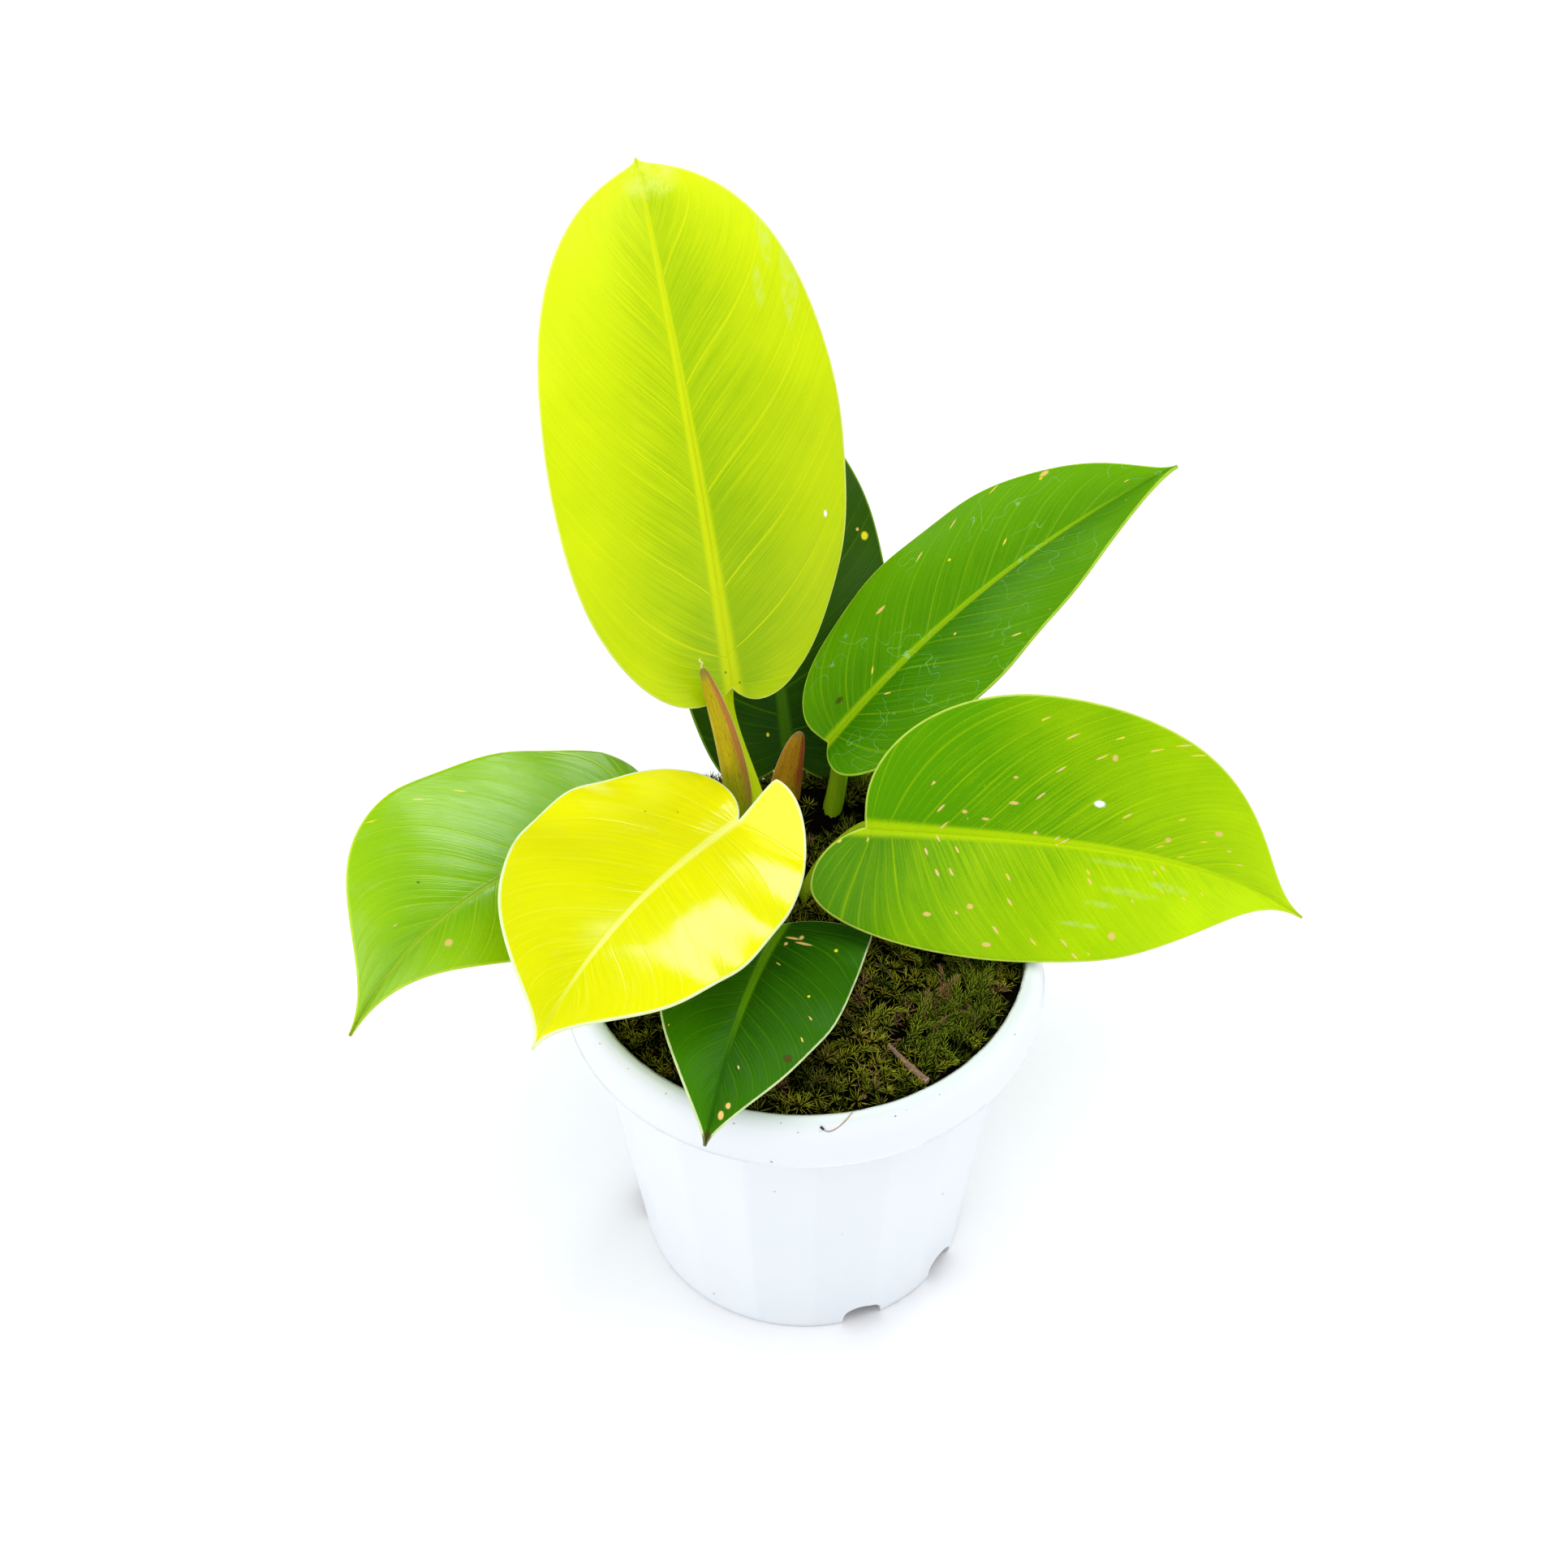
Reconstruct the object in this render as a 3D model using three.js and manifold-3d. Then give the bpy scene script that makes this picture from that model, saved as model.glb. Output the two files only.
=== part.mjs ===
// A moonlight philodendron in its white nursery pot.
// Millimetres, +Z up. The origin is the centre of the pot's flat underside; the front faces -Y.
import * as THREE from "three";
import { mergeVertices } from "three/addons/utils/BufferGeometryUtils.js";
import Module from "manifold-3d";

const wasm = await Module();
wasm.setup();

// Pot
const potHeight = 129;
const potBaseRadius = 52.9;
const bodyTopRadius = 66.5;
const bodyTopHeight = 110.5;
const potWall = 1.6;
const rimOuterRadius = 74;
const rimBottomHeight = 111.5;
const lipRadius = 68.7;
const fluteCount = 18;
const fluteDepth = 0.9;
const firstRidge = 3; // degrees right of the front
const potSegments = 54;
const drainAngles = [20, 56, 128, 200, 272]; // degrees right of the front
const drainWidth = 13;
const drainHeight = 8;

// Filling
const gap = 0.3;
const mixTop = 118;
const mossEdgeTop = 125.6;
const mossCrownTop = 130;
const mossRadius = 66.3;
const tuftCount = 60;
const tuftRadius = 2.3;
const tuftHeight = 5;

// Blades
const marginThickness = 0.8;
const midribThickness = 2.3;
const midribHalfWidth = 3.2;
const sinusHalfWidth = 1.2;
const tipHalfWidth = 0.35;
const blade = { columns: 22, rows: 4, veinSweep: 1.6, lobeShare: 0.3, waveCount: 3.5 };

const degree = Math.PI / 180;

// One leaf: where the blade joins its stalk, how its midrib runs and how each half spreads.
// heading and sweep turn about Z from +X; rise and droop tilt; roll and twist turn about the midrib.
// fold is how far each half lifts from the midrib, curl how much it bends back toward its edge.
// width, widestAt, lobe and lobeOut are millimetres from the junction; lift raises a back lobe.
// side, shoulder and point stretch the outline's curve at the lobe, the broad part and the tip.
const leaves = {
  tall: {
    color: 0xc9de1c,
    join: [-21, 43.5, 193.5], length: 160,
    heading: 115, rise: 74, droop: 32, hook: 1.5, sweep: -9.5, roll: 4, twist: -16,
    fold: 10, curl: 0.2, skew: 0, wave: 0.7,
    left: { width: 44.3, widestAt: 61, lobe: 2, lobeOut: 8.2, lift: 1 },
    right: { width: 43.8, widestAt: 77, lobe: 6, lobeOut: 9, lift: 5 },
    side: 0.49, shoulder: 0.98, point: 0.06,
    foot: [-12, 47], stalk: [3.7, 2.4, 2.8, 2.0], arrive: 0.45,
  },
  back: {
    color: 0x2f7a12,
    join: [-4.4, 68, 142.6], length: 151,
    heading: 100, rise: 47, droop: 9, hook: 1.5, sweep: -2, roll: 8.5, twist: 0,
    fold: 16, curl: 0.21, skew: 1, wave: 0.8,
    left: { width: 35.8, widestAt: 48, lobe: 7.9, lobeOut: 18.4, lift: -3 },
    right: { width: 38.1, widestAt: 50.4, lobe: 12.1, lobeOut: 19.6, lift: 0 },
    side: 0.54, shoulder: 0.52, point: 0.33,
    foot: [2.5, 58.5], stalk: [3.1, 2.3, 2.4, 1.8], arrive: 0.7,
  },
  rightUpper: {
    color: 0x55a012,
    join: [8.2, 53.9, 160.1], length: 137.5,
    heading: 38, rise: 34.5, droop: 9.5, hook: 1.5, sweep: -27.5, roll: -8, twist: 11.5,
    fold: 13.5, curl: 0.65, skew: 0, wave: 0.6,
    left: { width: 34.5, widestAt: 61, lobe: 0.4, lobeOut: 6.9, lift: 0 },
    right: { width: 34.1, widestAt: 41, lobe: 5.2, lobeOut: 11.3, lift: 1 },
    side: 0.54, shoulder: 0.63, point: 0.13,
    foot: [8, 51], stalk: [3.8, 3.3, 2.8, 2.4], arrive: 0.7,
  },
  right: {
    color: 0x86c41c,
    join: [18.8, 16, 161.2], length: 151,
    heading: -1, rise: -5, droop: 42, hook: 1.8, sweep: 9, roll: 42, twist: 18,
    fold: 16, curl: 0.28, skew: 1, wave: 1.0,
    left: { width: 44.7, widestAt: 50.6, lobe: 0.5, lobeOut: 7.6, lift: 0 },
    right: { width: 37.4, widestAt: 40.3, lobe: 15.7, lobeOut: 18.9, lift: 0 },
    side: 0.53, shoulder: 0.65, point: 0.31,
    foot: [0, 21], stalk: [3.5, 2.6, 2.6, 2.0], arrive: 0.8,
  },
  yellow: {
    color: 0xe8ea12,
    join: [-19.5, 16.8, 163.9], length: 127,
    heading: 240, rise: 21, droop: 28, hook: 2.2, sweep: 8, roll: -7, twist: -6,
    fold: 3, curl: 0.28, skew: -3, wave: 1.0,
    left: { width: 35.5, widestAt: 50.5, lobe: 17, lobeOut: 3.4, lift: 45 },
    right: { width: 41.8, widestAt: 42, lobe: 11.7, lobeOut: 15, lift: 3 },
    side: 0.52, shoulder: 0.72, point: 0.2,
    foot: [-9, 32], stalk: [3.4, 2.6, 2.6, 1.9], arrive: 0.75,
  },
  left: {
    color: 0x7dbb16,
    join: [-47.2, 29.2, 147.6], length: 137,
    heading: 222, rise: 26, droop: 48, hook: 2.2, sweep: 21, roll: -21.5, twist: -1,
    fold: 4, curl: 0.42, skew: -1, wave: 0.8,
    left: { width: 33.1, widestAt: 38, lobe: 11, lobeOut: 17.8, lift: 0 },
    right: { width: 40.1, widestAt: 68.4, lobe: 10.8, lobeOut: 19.2, lift: -5 },
    side: 0.56, shoulder: 0.55, point: 0.36,
    foot: [-20, 30], stalk: [3.4, 2.5, 2.6, 1.9], arrive: 0.7,
  },
  front: {
    color: 0x2f6f10,
    join: [-6.4, 0.1, 135.6], length: 108,
    heading: 254.5, rise: 22, droop: 26, hook: 1.8, sweep: 7, roll: -6, twist: -11,
    fold: 10, curl: 0.33, skew: 0, wave: 0.8,
    left: { width: 28, widestAt: 32.4, lobe: 7.9, lobeOut: 25.9, lift: 3.5 },
    right: { width: 28, widestAt: 32.5, lobe: 7.6, lobeOut: 14, lift: 0 },
    side: 0.55, shoulder: 0.57, point: 0.12,
    foot: [-5, 15], stalk: [3.0, 2.2, 2.2, 1.6], arrive: 0.75,
  },
};

// Sheaths that wrapped younger leaves: foot, two points that steer the curve, tip, half width,
// half depth, and the width at the foot as a share of the widest.
const sheaths = {
  sheath_tall: {
    color: 0xc0b428,
    path: [[-20, 42, mixTop + gap], [-17.5, 42.5, 146], [-22, 38.5, 178], [-29.3, 31.5, 212.5]],
    halfWidth: 4.3, halfDepth: 2.5, base: 0.45,
  },
  sheath_short: {
    color: 0x7d4a1c,
    path: [[-6.5, 54.5, mixTop + gap], [-6.5, 55, 134], [-4.5, 54.5, 150], [-0.6, 53.5, 165.5]],
    halfWidth: 5.2, halfDepth: 2.2, base: 0.8,
  },
  sheath_stub: {
    color: 0x6e2f1a,
    path: [[-14, 57.5, mixTop + gap], [-14, 58, 124], [-15.5, 60.5, 130], [-19.5, 63.5, 136]],
    halfWidth: 2.6, halfDepth: 1.5, base: 0.8,
  },
};

// Makes a closed solid for cutting and joining out of a three.js geometry.
function solid(geometry) {
  const bare = geometry.index ? geometry.toNonIndexed() : geometry.clone();
  bare.deleteAttribute("normal");
  bare.deleteAttribute("uv");
  const merged = mergeVertices(bare, 1e-4);
  const corners = [];
  for (let i = 0; i < merged.index.count; i += 3) {
    const [a, b, c] = [merged.index.getX(i), merged.index.getX(i + 1), merged.index.getX(i + 2)];
    if (a !== b && b !== c && c !== a) corners.push(a, b, c);
  }
  return new wasm.Manifold(new wasm.Mesh({
    numProp: 3,
    vertProperties: new Float32Array(merged.attributes.position.array),
    triVerts: new Uint32Array(corners),
  }));
}

// Turns a cut or joined solid back into a three.js geometry.
function geometryOf(body) {
  const mesh = body.getMesh();
  const geometry = new THREE.BufferGeometry();
  geometry.setAttribute("position", new THREE.BufferAttribute(new Float32Array(mesh.vertProperties), 3));
  geometry.setIndex(new THREE.BufferAttribute(new Uint32Array(mesh.triVerts), 1));
  return geometry;
}

function named(name, geometry, color, roughness) {
  geometry.computeVertexNormals();
  const material = new THREE.MeshStandardMaterial({ color, roughness, metalness: 0 });
  const mesh = new THREE.Mesh(geometry, material);
  mesh.name = name;
  return mesh;
}

// Repeatable numbers between 0 and 1.
function seeded(seed) {
  let state = seed;
  return () => {
    state = (state * 1664525 + 1013904223) % 4294967296;
    return state / 4294967296;
  };
}

// A point on a circle about Z; the angle is degrees right of the front.
function around(angle, radius, height) {
  const turn = angle * degree;
  return new THREE.Vector3(radius * Math.sin(turn), -radius * Math.cos(turn), height);
}

function smooth(low, high, value) {
  const t = Math.min(1, Math.max(0, (value - low) / (high - low)));
  return t * t * (3 - 2 * t);
}

// How far the wall is drawn in at this angle and height: 18 shallow hollows between upright ridges.
function fluteAt(angle, height) {
  const share = ((((angle - firstRidge) * fluteCount) / 360) % 1 + 1) % 1;
  const fade = smooth(1, 9, height) * (1 - smooth(98, 108, height));
  return fluteDepth * fade * Math.sin(Math.PI * share);
}

// Turns a profile about Z and draws its wall in by the flutes.
function turned(profile, segments) {
  const points = profile.map(([radius, height]) => new THREE.Vector2(radius, height));
  const geometry = new THREE.LatheGeometry(points, segments);
  geometry.rotateX(Math.PI / 2);
  geometry.rotateZ(firstRidge * degree);
  const place = geometry.attributes.position;
  for (let i = 0; i < place.count; i += 1) {
    const [x, y, z] = [place.getX(i), place.getY(i), place.getZ(i)];
    const radius = Math.hypot(x, y);
    const angle = Math.atan2(x, -y) / degree;
    const share = radius > 1 ? 1 - (fluteAt(angle, z) / potBaseRadius) * Math.min(1, radius / 40) : 1;
    place.setXY(i, x * share, y * share);
  }
  return geometry;
}

// The outer wall's radius at a height, before fluting.
function wallRadius(height) {
  return potBaseRadius + ((bodyTopRadius - potBaseRadius) * height) / bodyTopHeight;
}

// An arched opening through the pot's bottom corner.
function drainArch(angle) {
  const outline = new THREE.Shape();
  outline.moveTo(-drainWidth / 2, -2);
  outline.lineTo(drainWidth / 2, -2);
  outline.lineTo(drainWidth / 2, drainHeight * 0.35);
  outline.absellipse(0, drainHeight * 0.35, drainWidth / 2, drainHeight * 0.65, 0, Math.PI, false);
  const geometry = new THREE.ExtrudeGeometry(outline, { depth: 12, bevelEnabled: false, curveSegments: 8 });
  geometry.rotateX(Math.PI / 2);
  const arch = geometry.translate(0, -46, 0);
  arch.rotateZ(angle * degree);
  return solid(arch);
}

// The pot: flat floor, fluted wall and a broad rolled rim that is open underneath.
function pot() {
  const inside = (height) => wallRadius(height) - potWall;
  const profile = [
    [0, 0],
    [potBaseRadius - 1.5, 0],
    [potBaseRadius - 0.3, 0.6],
    [wallRadius(3), 3],
    [wallRadius(10), 10],
    [wallRadius(98), 98],
    [wallRadius(108), 108],
    [bodyTopRadius + 0.6, 112],
    [bodyTopRadius + 1, 123.4],
    [rimOuterRadius - 3.4, 123.4],
    [rimOuterRadius - 2, 120],
    [rimOuterRadius - 1.5, rimBottomHeight + 0.3],
    [rimOuterRadius - 0.7, rimBottomHeight],
    [rimOuterRadius + 0.1, rimBottomHeight + 0.9],
    [rimOuterRadius - 0.4, rimBottomHeight + 2.2],
    [rimOuterRadius - 1, 121.5],
    [rimOuterRadius - 2.1, 125.7],
    [rimOuterRadius - 3.7, 128.1],
    [lipRadius, potHeight],
    [lipRadius - 0.9, potHeight - 0.4],
    [lipRadius - 1.3, potHeight - 2],
    [bodyTopRadius - potWall + 0.7, 112],
    [inside(108), 108],
    [inside(98), 98],
    [inside(10), 10],
    [inside(2) - 1.6, 2],
    [0, 2],
  ];
  let body = solid(turned(profile, potSegments));
  for (const angle of drainAngles) body = body.subtract(drainArch(angle));
  return named("pot", geometryOf(body), 0xf4f6f6, 0.35);
}

// A stalk along a smooth path through four points. Its section is an ellipse whose half sizes
// come from size(share of the length); across is the direction of its wider axis.
// The foot is flat. The top is cut by the plane through the last point with the normal top.
function stalk(path, across, size, top, grow = 0, sides = 10, steps = 9) {
  const curve = new THREE.CubicBezierCurve3(...path);
  const positions = [];
  const index = [];
  for (let i = 0; i <= steps; i += 1) {
    const t = i / steps;
    const centre = curve.getPoint(t);
    const along = curve.getTangent(t);
    const wide = across.clone().addScaledVector(along, -across.dot(along)).normalize();
    const deep = new THREE.Vector3().crossVectors(along, wide);
    const [a, b] = size(t);
    for (let k = 0; k < sides; k += 1) {
      const turn = (2 * Math.PI * k) / sides;
      const point = centre.clone()
        .addScaledVector(wide, (a + grow) * Math.cos(turn))
        .addScaledVector(deep, (b + grow) * Math.sin(turn));
      if (i === 0) point.z = path[0].z - grow;
      if (i === steps) point.addScaledVector(along, grow);
      if (i === steps && top) {
        const shift = path[3].clone().sub(point).dot(top) / along.dot(top);
        point.addScaledVector(along, shift);
      }
      positions.push(point.x, point.y, point.z);
    }
  }
  for (let i = 0; i < steps; i += 1) {
    for (let k = 0; k < sides; k += 1) {
      const next = (k + 1) % sides;
      const [a, b] = [i * sides + k, i * sides + next];
      const [c, d] = [(i + 1) * sides + k, (i + 1) * sides + next];
      index.push(a, b, d, a, d, c);
    }
  }
  for (let k = 1; k < sides - 1; k += 1) {
    index.push(0, k + 1, k);
    const last = steps * sides;
    index.push(last, last + k, last + k + 1);
  }
  const geometry = new THREE.BufferGeometry();
  geometry.setAttribute("position", new THREE.Float32BufferAttribute(positions, 3));
  geometry.setIndex(index);
  return geometry;
}

// Direction along the midrib, to its left and up from the blade, at a share of the length.
function bladeFrame(leaf, share) {
  const part = Math.min(1, Math.max(0, share));
  const tilt = (leaf.rise - leaf.droop * part ** leaf.hook) * degree;
  const turn = (leaf.heading + leaf.sweep * part) * degree;
  const lean = (leaf.roll + leaf.twist * part) * degree;
  const along = new THREE.Vector3(
    Math.cos(tilt) * Math.cos(turn),
    Math.cos(tilt) * Math.sin(turn),
    Math.sin(tilt),
  );
  const level = new THREE.Vector3(-Math.sin(turn), Math.cos(turn), 0);
  const over = new THREE.Vector3().crossVectors(along, level);
  const side = level.clone().multiplyScalar(Math.cos(lean)).addScaledVector(over, Math.sin(lean));
  const up = over.clone().multiplyScalar(Math.cos(lean)).addScaledVector(level, -Math.sin(lean));
  return { along, side, up };
}

// Points along the midrib, by adding up short steps.
function midribPoints(leaf, steps = 40) {
  const points = [new THREE.Vector3(...leaf.join)];
  for (let i = 0; i < steps; i += 1) {
    const step = bladeFrame(leaf, (i + 0.5) / steps).along.multiplyScalar(leaf.length / steps);
    points.push(points[i].clone().add(step));
  }
  return points;
}

// A point of the blade: x along the midrib, y to the left, down below the upper face.
function bladePoint(leaf, midrib, x, y, down) {
  const { along, side, up } = bladeFrame(leaf, x / leaf.length);
  const place = Math.min(1, Math.max(0, x / leaf.length)) * (midrib.length - 1);
  const step = Math.min(midrib.length - 2, Math.floor(place));
  const point = midrib[step].clone().lerp(midrib[step + 1], place - step);
  const half = y > 0 ? leaf.left : leaf.right;
  const lift = x < 0 ? half.lift * degree : 0;
  if (x < 0) point.addScaledVector(along, x * Math.cos(lift)).addScaledVector(up, -x * Math.sin(lift));
  const away = Math.abs(y);
  const hand = Math.sign(y);
  const bend = (leaf.fold + hand * leaf.skew) * degree - (leaf.curl * away) / leaf.length;
  const edge = Math.min(1, away / half.width);
  const ripple = leaf.wave * edge * edge
    * Math.sin(2 * Math.PI * blade.waveCount * (x / leaf.length) + (hand > 0 ? 0.6 : 2.2));
  const sink = down * Math.cos(bend);
  point.addScaledVector(side, y * Math.cos(bend) + down * hand * Math.sin(bend));
  point.addScaledVector(along, -sink * Math.sin(lift));
  return point.addScaledVector(up, away * Math.sin(bend) + ripple - sink * Math.cos(lift));
}

// One half of the notch beside the stalk, from the midrib's start back to the end of the lobe.
function notchPoint(half, share) {
  return new THREE.CubicBezierCurve(
    new THREE.Vector2(0, 0),
    new THREE.Vector2(-half.lobe / 2, sinusHalfWidth + 0.075 * half.lobeOut),
    new THREE.Vector2(-half.lobe, half.lobeOut / 2),
    new THREE.Vector2(-half.lobe, half.lobeOut),
  ).getPoint(share);
}

// One half of the outline from the end of the lobe to the tip: two curves that meet where it is widest.
function outlinePoint(leaf, half, share) {
  const { length } = leaf;
  const back = new THREE.Vector2(-half.lobe, half.lobeOut);
  const widest = new THREE.Vector2(half.widestAt, half.width);
  const tip = new THREE.Vector2(length, tipHalfWidth);
  const rest = length - half.widestAt;
  const curves = [
    [back, new THREE.Vector2(-half.lobe, half.lobeOut + leaf.side * (half.width - half.lobeOut)),
      new THREE.Vector2(half.widestAt - 0.55 * (half.widestAt + half.lobe), half.width), widest],
    [widest, new THREE.Vector2(half.widestAt + leaf.shoulder * rest, half.width),
      new THREE.Vector2(length - leaf.point * rest, tipHalfWidth + 0.06 * leaf.point * rest), tip],
  ];
  const piece = Math.min(1, Math.floor(share * 2));
  return new THREE.CubicBezierCurve(...curves[piece]).getPoint(share * 2 - piece);
}

// Where the side vein that ends at this outline point leaves the midrib.
function veinRoot(leaf, half, share, x) {
  const forward = Math.max(0, (x + half.lobe) / (leaf.length + half.lobe));
  return leaf.length * (0.05 * share + 0.95 * forward ** blade.veinSweep);
}

// A point on the side vein with this share of the outline, at reach from the midrib (0) to the edge (1).
// The first vein is the notch's edge, and those near it follow its bend less and less.
function veinPoint(leaf, half, share, reach) {
  const edge = outlinePoint(leaf, half, share);
  const root = veinRoot(leaf, half, share, edge.x);
  const sweep = reach ** blade.veinSweep;
  const follow = Math.max(0, 1 - share / blade.lobeShare) ** 2;
  const notch = notchPoint(half, reach);
  const x = root + (edge.x - root) * sweep + follow * (notch.x + half.lobe * sweep);
  const y = edge.y * reach + follow * (notch.y - half.lobeOut * reach);
  return [x, y];
}

// The blade: two faces over one grid whose columns follow the side veins, and an edge round them.
function bladeGeometry(leaf) {
  const midrib = midribPoints(leaf);
  const { columns, rows } = blade;
  const spread = [];
  for (let j = -rows; j <= rows; j += 1) spread.push(Math.sign(j) * Math.abs(j / rows) ** 1.25);
  const faces = [[], []];
  for (let i = 0; i <= columns; i += 1) {
    const share = i / columns;
    for (const s of spread) {
      const half = s > 0 ? leaf.left : leaf.right;
      const [x, away] = veinPoint(leaf, half, share, Math.abs(s));
      const y = away * Math.sign(s);
      const rib = Math.exp(-((y / midribHalfWidth) ** 2)) * (1 - 0.85 * share);
      const thick = marginThickness + (midribThickness - marginThickness) * rib;
      faces[0].push(bladePoint(leaf, midrib, x, y, 0));
      faces[1].push(bladePoint(leaf, midrib, x, y, thick));
    }
  }
  const wide = spread.length;
  const count = faces[0].length;
  const at = (i, j) => i * wide + j;
  const index = [];
  for (let i = 0; i < columns; i += 1) {
    for (let j = 0; j < wide - 1; j += 1) {
      const [a, b, c, d] = [at(i, j), at(i + 1, j), at(i + 1, j + 1), at(i, j + 1)];
      index.push(a, b, c, a, c, d);
      index.push(count + a, count + c, count + b, count + a, count + d, count + c);
    }
  }
  const border = [];
  for (let i = 0; i < columns; i += 1) border.push(at(i, 0));
  for (let j = 0; j < wide - 1; j += 1) border.push(at(columns, j));
  for (let i = columns; i > 0; i -= 1) border.push(at(i, wide - 1));
  for (let j = wide - 1; j > 0; j -= 1) border.push(at(0, j));
  border.forEach((a, k) => {
    const b = border[(k + 1) % border.length];
    index.push(a, count + a, count + b, a, count + b, b);
  });
  const geometry = new THREE.BufferGeometry().setFromPoints([...faces[0], ...faces[1]]);
  geometry.setIndex(index);
  return geometry;
}

// The leaf's stalk: up from the rootstock, then against the blade's underside at its junction.
function leafStalk(leaf, grow = 0) {
  const { along, side, up } = bladeFrame(leaf, 0);
  const join = new THREE.Vector3(...leaf.join);
  const top = join.clone()
    .addScaledVector(along, leaf.stalk[3] * 0.8)
    .addScaledVector(up, -(midribThickness + gap));
  const arrival = along.clone().multiplyScalar(1 - leaf.arrive).addScaledVector(up, leaf.arrive).normalize();
  const foot = new THREE.Vector3(leaf.foot[0], leaf.foot[1], mixTop);
  const reach = top.distanceTo(foot);
  const path = [
    foot,
    foot.clone().add(new THREE.Vector3(0, 0, reach * 0.35)),
    top.clone().addScaledVector(arrival, -reach * 0.35),
    top,
  ];
  const [wideFoot, deepFoot, wideTop, deepTop] = leaf.stalk;
  const size = (t) => [wideFoot + (wideTop - wideFoot) * t, deepFoot + (deepTop - deepFoot) * t];
  return stalk(path, side, size, up, grow);
}

// A sheath narrows to a point, widest a little above its foot.
function sheathStalk(sheath, grow = 0) {
  const path = sheath.path.map((point) => new THREE.Vector3(...point));
  const size = (t) => {
    const swell = sheath.base + (1 - sheath.base) * smooth(0, 0.42, t);
    const full = swell * Math.sqrt(Math.max(0, 1 - t ** 2.2));
    return [sheath.halfWidth * full + 0.35, sheath.halfDepth * full + 0.25];
  };
  return stalk(path, new THREE.Vector3(1, 0.1, 0), size, null, grow);
}

// The knobbly creeping stem under the moss, one knuckle below each stalk, with its thick roots.
function rootstockSolid(grow = 0) {
  const feet = Object.values(leaves).map((leaf) => leaf.foot);
  const lump = (centre, radii) => {
    const ball = new THREE.SphereGeometry(1, 9, 6).rotateX(Math.PI / 2);
    ball.scale(...radii.map((radius) => radius + grow));
    return solid(ball.translate(...centre));
  };
  let body = lump([-4, 38, 104], [14, 24, 13]);
  for (const [x, y] of feet) body = body.add(lump([x, y * 0.98, mixTop - 5], [6.8, 6.8, 9]));
  const rootCount = 7;
  for (let i = 0; i < rootCount; i += 1) {
    const angle = (360 / rootCount) * i + 14;
    const reach = 30 + 12 * Math.sin(i * 2.3);
    const depth = 22 + 26 * ((i * 5) % rootCount) / rootCount;
    const start = new THREE.Vector3(-4, 34, 100);
    const path = [
      start,
      start.clone().add(around(angle, 16, 2)),
      around(angle, reach, depth + 40),
      around(angle + 14, reach + 4, depth),
    ];
    const size = (t) => [2.4 - 1.3 * t, 2.4 - 1.3 * t];
    body = body.add(solid(stalk(path, new THREE.Vector3(0, 0.1, 1), size, null, grow, 6, 7)));
  }
  const lid = new THREE.BoxGeometry(200, 200, 40).translate(0, 0, mixTop - gap + grow + 20);
  return body.subtract(solid(lid));
}

// The potting mix fills the pot and leaves a fitted hollow for the rootstock and its roots.
function pottingMix() {
  const inside = (height) => wallRadius(height) - potWall - gap;
  const profile = [
    [0, 2 + gap],
    [inside(2) - 3, 2 + gap],
    [inside(10) - gap, 10],
    [inside(98) - gap, 98],
    [inside(108) - gap, 108],
    [bodyTopRadius - potWall - gap, mixTop],
    [0, mixTop],
  ];
  const body = solid(turned(profile, potSegments)).subtract(rootstockSolid(gap));
  return named("potting_mix", geometryOf(body), 0x3a2a1e, 0.95);
}

// Height of the moss: a low mound with slow lumps.
function mossHeight(x, y) {
  const share = Math.hypot(x, y) / mossRadius;
  const mound = mossEdgeTop + (mossCrownTop - mossEdgeTop) * (1 - share ** 3);
  const lumps = Math.sin(x * 0.19 + 1) * Math.cos(y * 0.23) + 0.6 * Math.sin(x * 0.41 - y * 0.33);
  return mound + lumps * 0.9 * (1 - share ** 6);
}

function twigGeometry(grow = 0) {
  const [x0, y0, x1, y1] = [24.5, -42, 35.5, -54];
  const path = [
    new THREE.Vector3(x0, y0, mossHeight(x0, y0) + 0.6),
    new THREE.Vector3(x0 + 3, y0 - 4.5, mossHeight(x0 + 3, y0 - 4.5) + 1),
    new THREE.Vector3(x1 - 4, y1 + 3.5, mossHeight(x1 - 4, y1 + 3.5) + 0.4),
    new THREE.Vector3(x1, y1, mossHeight(x1, y1) + 0.6),
  ];
  const size = (t) => [1.3 - 0.4 * t, 1.2 - 0.4 * t];
  return stalk(path, new THREE.Vector3(0, 0.2, 1), size, null, grow, 7, 6);
}

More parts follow.
